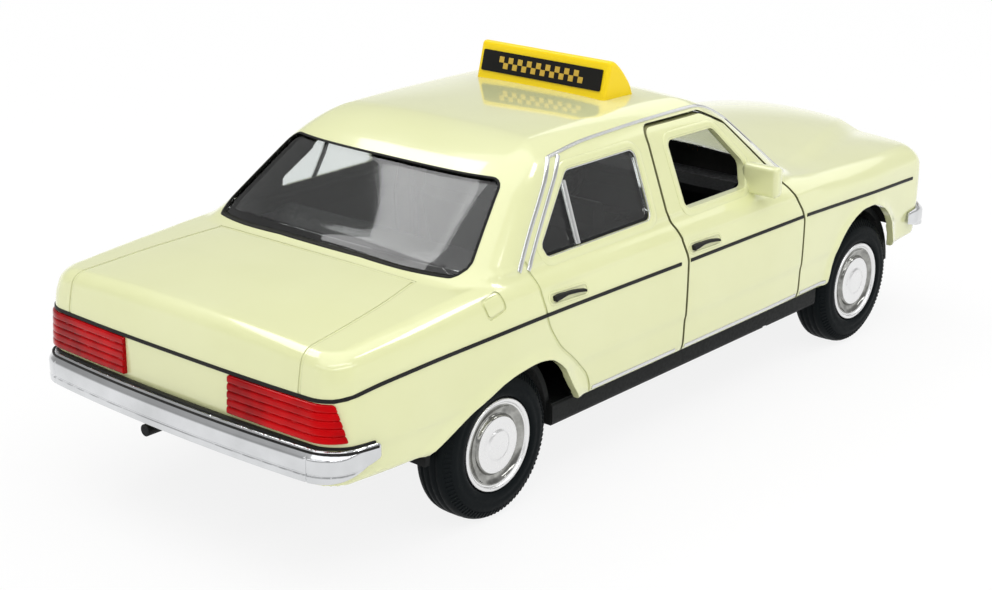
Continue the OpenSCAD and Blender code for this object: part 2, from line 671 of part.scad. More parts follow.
// Front doors
door_loops = 6;
door_steps = 4;
web_t = 0.9;
web_low = 1.6;
web_h = 8.4;
function between(list, n) =
  let (m = len(list))
  [for (i = [0:m - 1]) for (k = [0:n - 1]) list[i] + (list[(i + 1) % m] - list[i]) * k / n];
function shrink(points, gap) =
  let (n = len(points))
  [for (i = [0:n - 1])
    let (a = unit(points[i] - points[(i + n - 1) % n]), b = unit(points[(i + 1) % n] - points[i]))
    let (u = [-a[1], a[0]], v = [-b[1], b[0]])
    points[i] + (u + v) * gap / (1 + u * v)];
module door_skin() {
  edge = between(shrink(door_outline, door_gap), door_steps);
  hole = between(door_window, door_steps);
  n = len(edge);
  m = door_loops;
  grid = [for (s = [0:m]) for (k = [0:n - 1]) hole[k] + (edge[k] - hole[k]) * s / m];
  size = len(grid);
  polyhedron(
    points = concat(
      [for (p = grid) [body_x(p[0], p[1]), p[0], p[1]]],
      [for (p = grid) [body_x(p[0], p[1]) - wall, p[0], p[1]]]),
    faces = concat(
      [for (s = [0:m - 1]) for (k = [0:n - 1]) for (f = [0:3])
        let (j = (k + 1) % n, a = s * n + k, b = s * n + j, c = b + n, d = a + n, i = size)
        f == 0 ? [a, b, c] : f == 1 ? [a, c, d] : f == 2 ? [i + c, i + b, i + a] : [i + d, i + c, i + a]],
      [for (k = [0:n - 1]) for (f = [0:3])
        let (j = (k + 1) % n, a = m * n + k, b = m * n + j, i = size)
        f == 0 ? [a, b, i + b] : f == 1 ? [a, i + b, i + a] : f == 2 ? [j, k, i + k] : [j, i + k, i + j]]));
}
module front_door() {
  skin_x = body_x(hinge_y, sill_h + web_low) - wall / 2;
  door_skin();
  translate([hinge_x, hinge_y, pan_top - overrun]) cylinder(d = hinge_d, h = pin_top - pan_top + overrun);
  block([hinge_x, hinge_y - web_t / 2, sill_h + web_low],
    [skin_x, hinge_y + web_t / 2, sill_h + web_low + web_h]);
}
module front_door_left() {
  color("lemonchiffon") front_door();
}
module front_door_right() {
  color("lemonchiffon") mirror([1, 0, 0]) front_door();
}

// Door mirrors on the doors' front window corners
mirror_r = 0.6;
mirror_ahead = 1.25;
mirror_foot = 1.2;
mirror_drop = 0.35;
mirror_z = belt_h - mirror_drop;
module door_mirror() {
  y0 = door_pillar_y - mirror_ahead;
  x0 = body_x(y0, mirror_z + mirror_h / 2 - mirror_r) + seat_gap;
  hull() for (x = [x0 + mirror_foot, x0 + mirror_reach - mirror_r], z = [mirror_r, mirror_h - mirror_r])
    translate([x, y0 - mirror_d / 2 + mirror_r, mirror_z + z]) rotate([-90, 0, 0])
      cylinder(r = mirror_r, h = mirror_d - mirror_r, $fn = 24);
  block([x0, y0 - mirror_d / 2, mirror_z + mirror_h / 2 - mirror_r],
    [x0 + mirror_foot + mirror_r, y0 + mirror_d / 4, mirror_z + mirror_h / 2 + mirror_r]);
}
module door_mirror_left() {
  color("lemonchiffon") door_mirror();
}
module door_mirror_right() {
  color("lemonchiffon") mirror([1, 0, 0]) door_mirror();
}

// Chassis
pan_t = 1.2;
sill_inset = 2;
sill_w = 2.4;
sill_drop = 1.3;
well_gap = 0.9;
well_t = 0.7;
well_inset = 1.4;
well_r = tyre_d / 2 + well_gap;
well_x = tyre_x - tyre_w - well_gap;
sill_x = body_w / 2 - sill_inset;
end_share = 0.72;
bearing_w = 2.2;
bearing_r = 2;
bearing_x = well_x - well_t - bearing_w;
pipe_d = 1.3;
pipe_l = 9;
pan_setback = 6.4;
pipe_x_share = 0.24;
screw_pocket = 0.2;
module wheel_cuts(y) {
  both_sides() block([well_x, y - well_r, 0], [body_w, y + well_r, roof_h]);
}
module wheel_well(y) {
  both_sides() difference() {
    translate([0, y, axle_z]) rod(well_r + well_t, well_x - well_t, tyre_x - well_inset);
    translate([0, y, axle_z]) rod(well_r, well_x, tyre_x + overrun);
    translate([0, y, axle_z]) rod(axle_d, well_x - overrun, well_x + overrun);
    block([0, y - 2 * well_r, -well_r], [body_w, y + 2 * well_r, pan_top - pan_t]);
  }
}
module chassis_plan() {
  front = nose_y + pan_setback;
  rear = tail_y - pan_setback;
  end_w = end_share * body_w / 2;
  side = [[end_w, front], [end_w, front_axle_y - well_r], [sill_x, front_axle_y + well_r],
    [sill_x, rear_axle_y - well_r], [end_w + wall, rear_axle_y + well_r], [end_w, rear]];
  polygon(concat(side, [for (i = [len(side) - 1:-1:0]) [-side[i][0], side[i][1]]]));
}
module chassis() {
  color("dimgray") difference() {
    union() {
      difference() {
        translate([0, 0, pan_top - pan_t]) linear_extrude(pan_t) chassis_plan();
        wheel_cuts(front_axle_y);
        wheel_cuts(rear_axle_y);
        block([-motor_w / 2 - seat_gap, motor_front - seat_gap, 0],
          [motor_w / 2 + seat_gap, motor_rear + seat_gap, roof_h]);
        translate([0, front_axle_y, axle_z]) rod(axle_d / 2 + clear_gap, -body_w, body_w);
      }
      wheel_well(front_axle_y);
      wheel_well(rear_axle_y);
      both_sides() {
        block([sill_x - sill_w, front_axle_y + well_r, pan_top - pan_t - sill_drop],
          [sill_x, rear_axle_y - well_r, pan_top - pan_t / 2]);
        block([bearing_x, front_axle_y - bearing_r, axle_z - bearing_r],
          [bearing_x + bearing_w, front_axle_y + bearing_r, pan_top + bearing_r / 2]);
      }
      translate([pipe_x_share * body_w / 2, tail_y - pipe_l, pan_top + pipe_d / 4]) rotate([-90, 0, 0])
        cylinder(d = pipe_d, h = pipe_l);
    }
    translate([0, front_axle_y, axle_z]) rod(axle_d / 2 + play, -body_w, body_w);
    translate([0, rear_axle_y, axle_z]) rod(axle_d / 2 + clear_gap, -body_w, body_w);
    for (y = [post_front_y, post_rear_y])
      translate([0, y, pan_top - pan_t - overrun]) {
        cylinder(d = screw_d + 2 * seat_gap, h = pan_t + 2 * overrun);
        cylinder(d = screw_head_d + 2 * seat_gap, h = overrun + screw_pocket);
      }
    both_sides() translate([hinge_x, hinge_y, 0]) cylinder(d = hinge_d + 2 * play, h = pan_top + overrun);
  }
}
module base_screws() {
  color("silver") for (y = [post_front_y, post_rear_y]) {
    z = pan_top - pan_t + screw_pocket;
    translate([0, y, z - screw_head_h]) cylinder(d = screw_head_d, h = screw_head_h);
    translate([0, y, z]) cylinder(d = screw_d, h = screw_l);
  }
}

// Interior moulding
tub_w = 32.4;
floor_t = 0.8;
floor_z = sill_h;
cabin_floor_front = door_front_y + 2 * wall;
bench_run = 4;
bench_front = motor_front - bench_run;
seat_w = 9.6;
seat_x = 7.8;
seat_y_share = 0.7;
seat_h = 16;
seat_d = 13;
dash_h = 8;
dash_d = 6.6;
dash_setback = 3.1;
dash_drop = 1.2;
dash_top = belt_h - dash_drop;
ear_r = 0.95;
ear_t = 1.2;
ear_drop = 3.9;
ear_z = dash_top - ear_drop;
pin_over = 0.9;
pin_top = ear_z + ear_t + pin_over;
// Seat outlines: shares of the seat's depth from its front edge, shares of its height
front_seat_shares = [[0.04, 0], [0, 0.24], [0.06, 0.33], [0.55, 0.27], [0.66, 0.32], [0.8, 0.75],
  [0.78, 0.83], [0.82, 0.98], [0.9, 1], [0.96, 0.97], [0.95, 0.84], [1, 0.78], [0.86, 0.2], [0.84, 0]];
bench_d = 21.4;
bench_h = 14.4;
bench_shares = [[0.03, 0], [0, 0.44], [0.05, 0.56], [0.38, 0.52], [0.43, 0.56], [0.58, 0.97], [0.62, 1],
  [1, 1], [1, 0.94], [0.66, 0.93], [0.52, 0.49], [0.09, 0.46], [0.09, 0]];
dash_shares = [[0, 0], [-0.1, 0.6], [0.12, 0.96], [0.7, 1], [0.98, 0.9], [1, 0.8], [0.84, 0.55], [0.84, 0.2],
  [0.5, 0]];
function scaled(shares, y, z, d, h) = [for (s = shares) [y + s[0] * d, z + s[1] * h]];
module interior_tub() {
  seat_y = door_at(seat_y_share);
  dash_y = cowl_y + dash_setback;
  top = floor_z + floor_t;
  color("dimgray") difference() {
    union() {
      block([-tub_w / 2, cabin_floor_front, floor_z], [tub_w / 2, bench_front + bench_run / 2, top]);
      for (x = [-seat_x, seat_x])
        across(scaled(front_seat_shares, seat_y, top, seat_d, seat_h), x - seat_w / 2, x + seat_w / 2);
      across(scaled(bench_shares, bench_front, top, bench_d, bench_h), -tub_w / 2, tub_w / 2);
      across(scaled(dash_shares, dash_y, dash_top - dash_h, dash_d, dash_h), -tub_w / 2, tub_w / 2);
      block([-tub_w / 2, cabin_floor_front, floor_z],
        [tub_w / 2, cabin_floor_front + floor_t, dash_top - dash_h / 2]);
      both_sides() {
        block([tub_w / 2 - overrun, hinge_y - ear_r / 3, ear_z], [hinge_x, hinge_y + ear_r, ear_z + ear_t]);
        block([tub_w / 2 - overrun, cabin_floor_front, ear_z], [tub_w / 2, hinge_y + ear_r, ear_z + ear_t]);
        translate([hinge_x, hinge_y, ear_z]) cylinder(r = ear_r, h = ear_t);
      }
    }
    both_sides() translate([hinge_x, hinge_y, ear_z - overrun])
      cylinder(d = hinge_d + 2 * play, h = ear_t + 2 * overrun);
  }
}

// Steering wheel on the left of the dash
wheel_rim_d = 7;
wheel_rim_t = 0.7;
wheel_tilt = 62;
column_l = 2.6;
module steering_wheel() {
  hub_y = cowl_y + dash_setback + dash_d + column_l;
  color("dimgray") translate([seat_x, hub_y, dash_top - dash_h / 3]) rotate([-wheel_tilt, 0, 0]) {
    rotate_extrude() translate([wheel_rim_d / 2, 0]) circle(d = wheel_rim_t, $fn = 16);
    cylinder(d = 3 * wheel_rim_t, h = wheel_rim_t, center = true);
    translate([0, 0, -column_l]) cylinder(d = 1.6 * wheel_rim_t, h = column_l);
    for (a = [0, 120, 240])
      rotate([0, 0, a + 90]) translate([0, -wheel_rim_t / 2, -wheel_rim_t / 4])
        cube([wheel_rim_d / 2, wheel_rim_t, wheel_rim_t / 2]);
  }
}

// Wheels
rim_face_inset = 0.35;
rim_bead = 0.35;
rim_dish = 0.5;
hub_d = 3.4;
cap_foot_share = 0.62;
cap_share = 0.56;
axle_end_inset = 1.4;
// Tyre section: share of the width from the inner face, share of the wall from the bead to the tread
tyre_shares = [[0, 0], [0, 0.25], [0.03, 0.62], [0.1, 0.9], [0.18, 0.98], [0.3, 1], [0.7, 1], [0.82, 0.98],
  [0.9, 0.9], [0.97, 0.62], [1, 0.25], [0.97, 0]];
module tyre(y) {
  r0 = rim_d / 2 + play;
  translate([tyre_x - tyre_w, y, axle_z]) rotate([0, 90, 0]) rotate_extrude()
    polygon([for (s = tyre_shares) [r0 + s[1] * (tyre_d / 2 - r0), s[0] * tyre_w]]);
}
module rim(y) {
  face = tyre_w - rim_face_inset;
  r = rim_d / 2;
  translate([tyre_x - tyre_w, y, axle_z]) rotate([0, 90, 0]) rotate_extrude()
    polygon([[axle_d / 2, 0], [hub_d / 2, 0], [hub_d / 2, face - 3 * rim_dish],
      [r - 2 * rim_bead, face - 3 * rim_dish], [r - 2 * rim_bead, rim_bead], [r, rim_bead], [r, face],
      [r - 2 * rim_bead, face], [r - 3 * rim_bead, face - rim_dish], [cap_foot_share * r, face - rim_dish],
      [cap_share * r, face], [0, face], [0, tyre_w - axle_end_inset], [axle_d / 2, tyre_w - axle_end_inset]]);
}
module axle(y) {
  translate([0, y, axle_z]) rod(axle_d / 2, axle_end_inset - tyre_x, tyre_x - axle_end_inset);
}
module front_axle() {
  color("silver") axle(front_axle_y);
}
module rear_axle() {
  color("silver") axle(rear_axle_y);
}
module front_tyre_left() {
  color("dimgray") tyre(front_axle_y);
}
module front_tyre_right() {
  color("dimgray") mirror([1, 0, 0]) tyre(front_axle_y);
}
module rear_tyre_left() {
  color("dimgray") tyre(rear_axle_y);
}
module rear_tyre_right() {
  color("dimgray") mirror([1, 0, 0]) tyre(rear_axle_y);
}
module front_rim_left() {
  color("gainsboro") rim(front_axle_y);
}
module front_rim_right() {
  color("gainsboro") mirror([1, 0, 0]) rim(front_axle_y);
}
module rear_rim_left() {
  color("gainsboro") rim(rear_axle_y);
}
module rear_rim_right() {
  color("gainsboro") mirror([1, 0, 0]) rim(rear_axle_y);
}

// Tooth flank as an involute from the base circle out, with a straight foot under it
function involute(r, base) = r <= base ? 0 : tan(acos(base / r)) - acos(base / r) * PI / 180;
function gear_points(n) =
  let (p = gear_module * n / 2, base = p * cos(pressure_angle))
  let (tip = p + tip_share * gear_module, root = p - root_share * gear_module)
  let (low = max(base, root), half = tooth_share * 180 / n)
  let (radii = concat([root], [for (i = [0:flank_steps]) low + (tip - low) * i / flank_steps]))
  let (lean = [for (r = radii) half + (involute(p, base) - involute(r, base)) * 180 / PI])
  [for (k = [0:n - 1]) each concat(
    [for (i = [0:len(radii) - 1]) radii[i] * [cos(360 * k / n - lean[i]), sin(360 * k / n - lean[i])]],
    [for (i = [len(radii) - 1:-1:0]) radii[i] * [cos(360 * k / n + lean[i]), sin(360 * k / n + lean[i])]])];
module gear(n, x0, x1, turn) {
  c = cos(turn);
  s = sin(turn);
  across([for (p = gear_points(n)) [p[0] * c - p[1] * s, p[0] * s + p[1] * c]], x0, x1);
}
// Turn of a gear so that its gap faces a tooth of its mate, which lies at an angle and has its own turn
function meshed(n, mate_n, mate_turn, angle) = angle + 180 + (180 - (mate_turn - angle) * mate_n) / n;
idler_way = 180 - idler_angle;
idler_turn = meshed(idler_teeth, pinion_teeth, 0, idler_way);
barrel_turn = meshed(barrel_teeth, small_teeth, idler_turn, 180);

module axle_pinion() {
  color("white") translate([0, rear_axle_y, axle_z]) difference() {
    gear(pinion_teeth, gear_x, gear_x + gear_face, 0);
    rod(axle_d / 2, gear_x - overrun, gear_x + gear_face + overrun);
  }
}
module idler_gear() {
  color("white") translate([0, idler_y, idler_z]) {
    gear(idler_teeth, gear_x, gear_x + gear_face, idler_turn);
    gear(small_teeth, gear_x - small_face, gear_x, idler_turn);
    rod(idler_shaft_d / 2, -motor_w / 2 + play, motor_w / 2 - play);
  }
}
module spring_arbor() {
  color("silver") translate([0, barrel_y, barrel_z]) rod(arbor_d / 2, -motor_w / 2, motor_w / 2);
}
drum_x = -motor_w / 2 + case_t + case_gap;
barrel_x = gear_x - small_face;
drum_r = gear_module * (barrel_teeth / 2 - root_share);
module spring_barrel() {
  color("white") translate([0, barrel_y, barrel_z]) difference() {
    union() {
      gear(barrel_teeth, barrel_x, gear_x - case_gap, barrel_turn);
      rod(drum_r, drum_x, barrel_x);
    }
    rod(drum_r - drum_t, drum_x - overrun, barrel_x - drum_t);
    rod(arbor_d / 2 + play, drum_x - overrun, gear_x + overrun);
  }
}
// Wound spring strip between the arbor and the drum
spring_t = 0.12;
spring_turns = 5;
spring_steps = 20;
module mainspring() {
  r0 = arbor_d / 2 + 3 * play;
  r1 = drum_r - drum_t - play - spring_t;
  n = spring_turns * spring_steps;
  function at(i, out) =
    (r0 + (r1 - r0) * i / n + out) * [cos(360 * i / spring_steps), sin(360 * i / spring_steps)];
  color("slategray") translate([0, barrel_y, barrel_z])
    across(concat([for (i = [0:n]) at(i, spring_t)], [for (i = [n:-1:0]) at(i, 0)]),
      drum_x + play, barrel_x - drum_t - play);
}
module motor_half(x0, x1) {
  inner0 = x0 < 0 ? x0 + case_t : x0 - overrun;
  inner1 = x0 < 0 ? x1 + overrun : x1 - case_t;
  difference() {
    union() {
      block([x0, motor_front, motor_low], [x1, motor_rear, motor_high]);
      block([x0, motor_front - flange_reach, sill_h], [x1, motor_front + case_t, sill_h + flange_t]);
      block([x0, motor_rear - case_t, sill_h], [x1, motor_rear + flange_reach, sill_h + flange_t]);
    }
    block([inner0, motor_front + case_t, motor_low + case_t],
      [inner1, motor_rear - case_t, motor_high - case_t]);
    translate([0, rear_axle_y, axle_z]) rod(axle_d / 2 + play, -motor_w, motor_w);
    translate([0, idler_y, idler_z]) rod(idler_shaft_d / 2 + play, -motor_w, motor_w);
    translate([0, barrel_y, barrel_z]) rod(arbor_d / 2 + play / 3, -motor_w, motor_w);
  }
}
module motor_case_left() {
  color("dimgray") motor_half(0, motor_w / 2);
}
module motor_case_right() {
  color("dimgray") motor_half(-motor_w / 2, 0);
}

body_shell();
glazing();
chassis();
interior_tub();
steering_wheel();
front_bumper();
rear_bumper();
grille();
headlamp_left();
headlamp_right();
indicator_left();
indicator_right();
tail_lamp_left();
tail_lamp_right();
roof_sign();
sign_panel();
front_door_left();
front_door_right();
door_mirror_left();
door_mirror_right();
front_axle();
rear_axle();
front_tyre_left();
front_tyre_right();
rear_tyre_left();
rear_tyre_right();
front_rim_left();
front_rim_right();
rear_rim_left();
rear_rim_right();
motor_case_left();
motor_case_right();
axle_pinion();
idler_gear();
spring_arbor();
spring_barrel();
mainspring();
base_screws();
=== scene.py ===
import json
import math

import bmesh
import bpy
import numpy as np
from mathutils import Matrix, Vector


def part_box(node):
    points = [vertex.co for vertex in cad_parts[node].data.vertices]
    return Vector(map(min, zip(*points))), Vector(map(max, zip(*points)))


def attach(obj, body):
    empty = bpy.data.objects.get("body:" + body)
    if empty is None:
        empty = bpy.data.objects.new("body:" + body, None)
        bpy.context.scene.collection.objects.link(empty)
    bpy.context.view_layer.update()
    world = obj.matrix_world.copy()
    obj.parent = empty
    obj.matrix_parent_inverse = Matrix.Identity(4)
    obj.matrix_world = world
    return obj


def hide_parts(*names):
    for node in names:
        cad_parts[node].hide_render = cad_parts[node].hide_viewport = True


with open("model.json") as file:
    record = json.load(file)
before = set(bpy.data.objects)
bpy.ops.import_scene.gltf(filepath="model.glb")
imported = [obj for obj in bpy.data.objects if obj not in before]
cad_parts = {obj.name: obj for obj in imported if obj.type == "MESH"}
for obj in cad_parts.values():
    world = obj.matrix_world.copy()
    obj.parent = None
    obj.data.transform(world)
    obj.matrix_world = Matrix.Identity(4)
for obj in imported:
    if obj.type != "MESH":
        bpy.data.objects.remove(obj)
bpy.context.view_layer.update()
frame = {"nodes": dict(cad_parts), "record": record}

# Sizes of the car in millimetres, in the CAD frame: nose towards -Y, ground at zero
MM = 0.001
NOSE, TAIL, HALF = -56.8, 56.8, 22.6
SILL, BELT, RAIL, ROOF = 10.0, 26.1, 34.6, 37.3
COWL, BOOT = -25.0, 36.6
SCREEN_RUN, BACKLIGHT_RUN = 10.4, 10.8
FRONT_AXLE, REAR_AXLE, AXLE_Z = -38.6, 32.4, 8.25
WALL = 0.9
X, Y, Z = 0, 1, 2
SIDES = (("left", 1), ("right", -1))


def span(sign, near, far):
    """Ends of a stretch along X on one side of the car, the lower first."""
    return sorted((sign * near, sign * far))


def show(name, data):
    """New object in the scene for a mesh, lamp or camera."""
    made = bpy.data.objects.new(name, data)
    bpy.context.scene.collection.objects.link(made)
    return made


# Camera
PHOTO_WIDTH, FOCAL_PIXELS, SENSOR = 992, 1914.0, 36
CAMERA_TURN, CAMERA_LIFT, CAMERA_ROLL = 3.849424, 0.330903, 0.005771
CAMERA_PLACE = (-138.632, 170.254, 86.806)


def make_camera():
    """Camera fitted to the photograph's view."""
    level = math.cos(CAMERA_LIFT)
    back = Vector((math.sin(CAMERA_TURN) * level, -math.cos(CAMERA_TURN) * level, math.sin(CAMERA_LIFT)))
    right = Vector((0, 0, 1)).cross(back).normalized()
    up = back.cross(right)
    c, s = math.cos(CAMERA_ROLL), math.sin(CAMERA_ROLL)
    right, up = c * right + s * up, c * up - s * right
    camera = show("camera", bpy.data.cameras.new("camera"))
    camera.data.sensor_width = SENSOR
    camera.data.lens = SENSOR * FOCAL_PIXELS / PHOTO_WIDTH
    camera.data.clip_start, camera.data.clip_end = 0.01, 20
    stand = Matrix((right, up, back)).transposed().to_4x4()
    stand.translation = Vector(CAMERA_PLACE) * MM
    camera.matrix_world = stand
    bpy.context.scene.camera = camera


# Shader building
def maker(tree, prefix="ShaderNode"):
    """Maker of nodes in a tree: an input takes a value or another node's output, and outputs come back."""
    def node(kind, inputs=(), **settings):
        made = tree.nodes.new(kind if hasattr(bpy.types, kind) else prefix + kind)
        for key, value in settings.items():
            setattr(made, key, value)
        for key, value in dict(inputs).items():
            if isinstance(value, bpy.types.NodeSocket):
                tree.links.new(value, made.inputs[key])
            else:
                made.inputs[key].default_value = value
        return made.outputs

    return node


def fresh_nodes(holder):
    """The maker of a material's or world's node tree, emptied."""
    holder.use_nodes = True
    holder.node_tree.nodes.clear()
    return maker(holder.node_tree)


def shader_group(name, sockets, outputs):
    """Shader group with float inputs and typed outputs: the tree, its maker and its inputs."""
    tree = bpy.data.node_groups.new(name, "ShaderNodeTree")
    for label, value in sockets.items():
        made = tree.interface.new_socket(label, in_out="INPUT", socket_type="NodeSocketFloat")
        made.default_value = value
    for label, kind in outputs.items():
        tree.interface.new_socket(label, in_out="OUTPUT", socket_type="NodeSocket" + kind)
    node = maker(tree)
    return tree, node, node("NodeGroupInput")


def uneven_finish():
    """Group: slow mottling, fine grain and specks over a surface, in object coordinates."""
    tree, node, have = shader_group(
        "uneven finish", {"Patch per metre": 60, "Grain per metre": 3000, "Speck per metre": 900},
        {"Patch": "Float", "Grain": "Float", "Speck": "Float"})
    spot = node("TexCoord")["Object"]
    masks = {}
    for label, detail in (("Patch", 3), ("Grain", 2)):
        noise = node("TexNoise", {"Vector": spot, "Scale": have[label + " per metre"], "Detail": detail,
                                  "Roughness": 0.55})
        masks[label] = noise["Fac"]
    cells = node("TexVoronoi", {"Vector": spot, "Scale": have["Speck per metre"]}, feature="F1")
    dots = node("MapRange", {"Value": cells["Distance"], "From Min": 0.02, "From Max": 0.11,
                             "To Min": 1, "To Max": 0})
    node("NodeGroupOutput", {**masks, "Speck": dots["Result"]})
    return tree


def soft_relief():
    """Group: a normal with rounded edges and a fine ripple, as thick paint or plating has."""
    tree, node, have = shader_group(
        "soft relief", {"Edge radius": 0.00015, "Ripple per metre": 700, "Ripple strength": 0.05},
        {"Normal": "Vector"})
    edge = node("Bevel", {"Radius": have["Edge radius"]}, samples=4)
    ripple = node("TexNoise", {"Vector": node("TexCoord")["Object"], "Scale": have["Ripple per metre"],
                               "Detail": 1.5})
    bump = node("Bump", {"Distance": 0.0001, "Strength": have["Ripple strength"], "Height": ripple["Fac"],
                         "Normal": edge["Normal"]})
    node("NodeGroupOutput", {"Normal": bump["Normal"]})
    return tree


UNEVEN, RELIEF = uneven_finish(), soft_relief()


def finish(name, colour, shade, rough, metallic=0.0, edge=0.12, ripple=0.04, ripple_scale=700, patch=60,
           grain=3000, specks=0.0, **sockets):
    """Material: colour mottled towards a second shade, roughness with grain, rounded edges."""
    material = bpy.data.materials.new(name)
    node = fresh_nodes(material)
    uneven = node("ShaderNodeGroup", {"Patch per metre": patch, "Grain per metre": grain}, node_tree=UNEVEN)
    mix = node("MapRange", {"Value": uneven["Patch"], "From Min": 0.35, "From Max": 0.7})["Result"]
    if specks:
        dust = node("Math", {0: uneven["Speck"], 1: specks, 2: mix}, operation="MULTIPLY_ADD", use_clamp=True)
        mix = dust[0]
    blend = node("Mix", {"A": (*colour, 1), "B": (*shade, 1), "Factor": mix}, data_type="RGBA")
    gloss = node("MapRange", {"Value": uneven["Grain"], "From Min": 0.3, "From Max": 0.7,
                              "To Min": rough[0], "To Max": rough[1]})
    relief = node("ShaderNodeGroup", {"Edge radius": edge * MM, "Ripple strength": ripple,
                                      "Ripple per metre": ripple_scale}, node_tree=RELIEF)
    surface = node("BsdfPrincipled", {
        "Base Color": blend["Result"], "Roughness": gloss["Result"], "Normal": relief["Normal"],
        "Metallic": metallic, **{key.replace("_", " "): value for key, value in sockets.items()}})
    node("OutputMaterial", {"Surface": surface["BSDF"]})
    return material


def make_finishes():
    clear = dict(Transmission_Weight=1.0, IOR=1.46)
    dull = dict(Specular_IOR_Level=0.12)
    return {
        "ivory": finish(
            "ivory enamel", (0.735, 0.755, 0.405), (0.76, 0.78, 0.44), (0.14, 0.2), edge=0.16, ripple=0.03,
            ripple_scale=260, Coat_Weight=1.0, Coat_Roughness=0.045, IOR=1.5),
        # Painted shade: the ivory darkened for the cut faces in the door gaps and for the screw posts inside
        # the body
        "jamb": finish("enamel with painted gap shade", (0.22, 0.22, 0.10), (0.28, 0.28, 0.13), (0.35, 0.5)),
        # Painted shade: near-black for the inner faces of the shell and the doors, which lie in shade
        "lining": finish("painted shade inside the shell", (0.014, 0.014, 0.013), (0.024, 0.024, 0.021), (0.6, 0.8), **dull),
        "seam": finish("shadow in the seams", (0.012, 0.012, 0.010), (0.03, 0.03, 0.024), (0.6, 0.8), **dull),
        "chrome": finish(
            "vacuum plating", (0.72, 0.73, 0.745), (0.60, 0.61, 0.62), (0.05, 0.11), metallic=1.0, edge=0.1,
            ripple=0.10, ripple_scale=420, patch=160),
        "silver": finish(
            "hot foil silver", (0.76, 0.77, 0.76), (0.68, 0.69, 0.68), (0.2, 0.24), metallic=1.0, edge=0.05,
            ripple=0.02, ripple_scale=300, grain=700),
        "satin": finish(
            "satin wheel disc", (0.86, 0.86, 0.86), (0.78, 0.78, 0.78), (0.26, 0.36), metallic=1.0, edge=0.08,
            ripple_scale=1200),
        # Painted reflection: the mirror ring's colour darkened and mottled to stand for the dark arcs it
        # reflects
        "dish": finish(
            "mirror ring of the wheel disc", (0.40, 0.40, 0.38), (0.18, 0.18, 0.17), (0.05, 0.1),
            metallic=1.0, edge=0.05, ripple=0.9, ripple_scale=480, patch=700),
        # Also used for the strip of painted shade in the gap over the rear bumper
        "black strip": finish(
            "printed black strip", (0.012, 0.012, 0.012), (0.022, 0.022, 0.020), (0.35, 0.5), edge=0.05,
            ripple=0.06, ripple_scale=900, **dull),
        "pan": finish(
            "black moulded base", (0.007, 0.008, 0.008), (0.013, 0.014, 0.014), (0.42, 0.6), ripple=0.08,
            ripple_scale=2600, specks=0.2, **dull),
        "seat": finish(
            "black moulded interior", (0.007, 0.007, 0.008), (0.013, 0.013, 0.014), (0.4, 0.62), ripple=0.06,
            ripple_scale=2200, specks=0.2, **dull),
        "rubber": finish(
            "tyre rubber", (0.003, 0.005, 0.006), (0.007, 0.009, 0.010), (0.42, 0.58), ripple=0.08,
            ripple_scale=2400, specks=0.15, Specular_IOR_Level=0.05),
        "glass": finish(
            "clear glazing", (0.93, 0.95, 0.94), (0.88, 0.91, 0.90), (0.01, 0.05), edge=0.05, ripple=0.05,
            ripple_scale=120, Specular_IOR_Level=0.35, **clear),
        "lens": finish(
            "clear lamp lens", (0.9, 0.92, 0.92), (0.82, 0.85, 0.85), (0.03, 0.1), edge=0.08, ripple=0.05,
            **clear),
        "red": finish(
            "red lamp lens", (0.52, 0.0, 0.002), (0.16, 0.0, 0.001), (0.06, 0.1), edge=0.05, patch=170,
            grain=700, Specular_IOR_Level=0.6, Specular_Tint=(1.0, 0.1, 0.1, 1.0), IOR=1.49),
        "orange": finish(
            "orange lamp lens", (0.78, 0.16, 0.006), (0.62, 0.10, 0.004), (0.06, 0.14), edge=0.08,
            Specular_IOR_Level=0.4, IOR=1.49),
        "yellow": finish(
            "yellow sign plastic", (0.96, 0.70, 0.0), (0.92, 0.65, 0.0), (0.3, 0.36), edge=0.14,
            Specular_IOR_Level=0.35),
        "sign black": finish(
            "printed sign panel", (0.006, 0.006, 0.006), (0.014, 0.013, 0.012), (0.3, 0.45), edge=0.04,
            **dull),
        "sign print": finish(
            "printed checks", (0.62, 0.40, 0.04), (0.50, 0.32, 0.03), (0.3, 0.45), edge=0.02),
        "steel": finish(
            "bright steel", (0.56, 0.56, 0.57), (0.45, 0.45, 0.46), (0.22, 0.36), metallic=1.0, ripple=0.06),
        "gear": finish(
            "natural gear plastic", (0.72, 0.71, 0.66), (0.66, 0.64, 0.58), (0.35, 0.5), ripple=0.08),
    }


FINISH = make_finishes()

# Stage and light, in metres: each lamp's place, size and power
LAMPS = (
    ("overhead softbox", (-0.03, 0.06, 0.66), (0.80, 1.00), 2.0),
    ("shoulder strip", (-0.34, 0.16, 0.52), (0.80, 0.035), 0.4),
    ("right strip", (-0.55, 0.10, 0.40), (0.90, 0.06), 0.7),
    ("shoulder card", (-0.26, -0.40, 0.54), (0.16, 0.10), 0.4),
    ("rear strip", (-0.05, 0.66, 0.42), (0.70, 0.12), 0.35),
    ("window card", (0.37, 0.08, 0.555), (0.40, 0.16), 0.75),
    ("front strip", (0.05, -0.66, 0.42), (0.70, 0.20), 0.35))
LAMP_AIM = Vector((0, 0, 0.02))
WALL_GREYS = ((0.10, 0.94), (0.22, 0.55), (0.42, 0.38), (0.62, 0.44), (0.8, 0.62))
FLOOR_REACH = 3


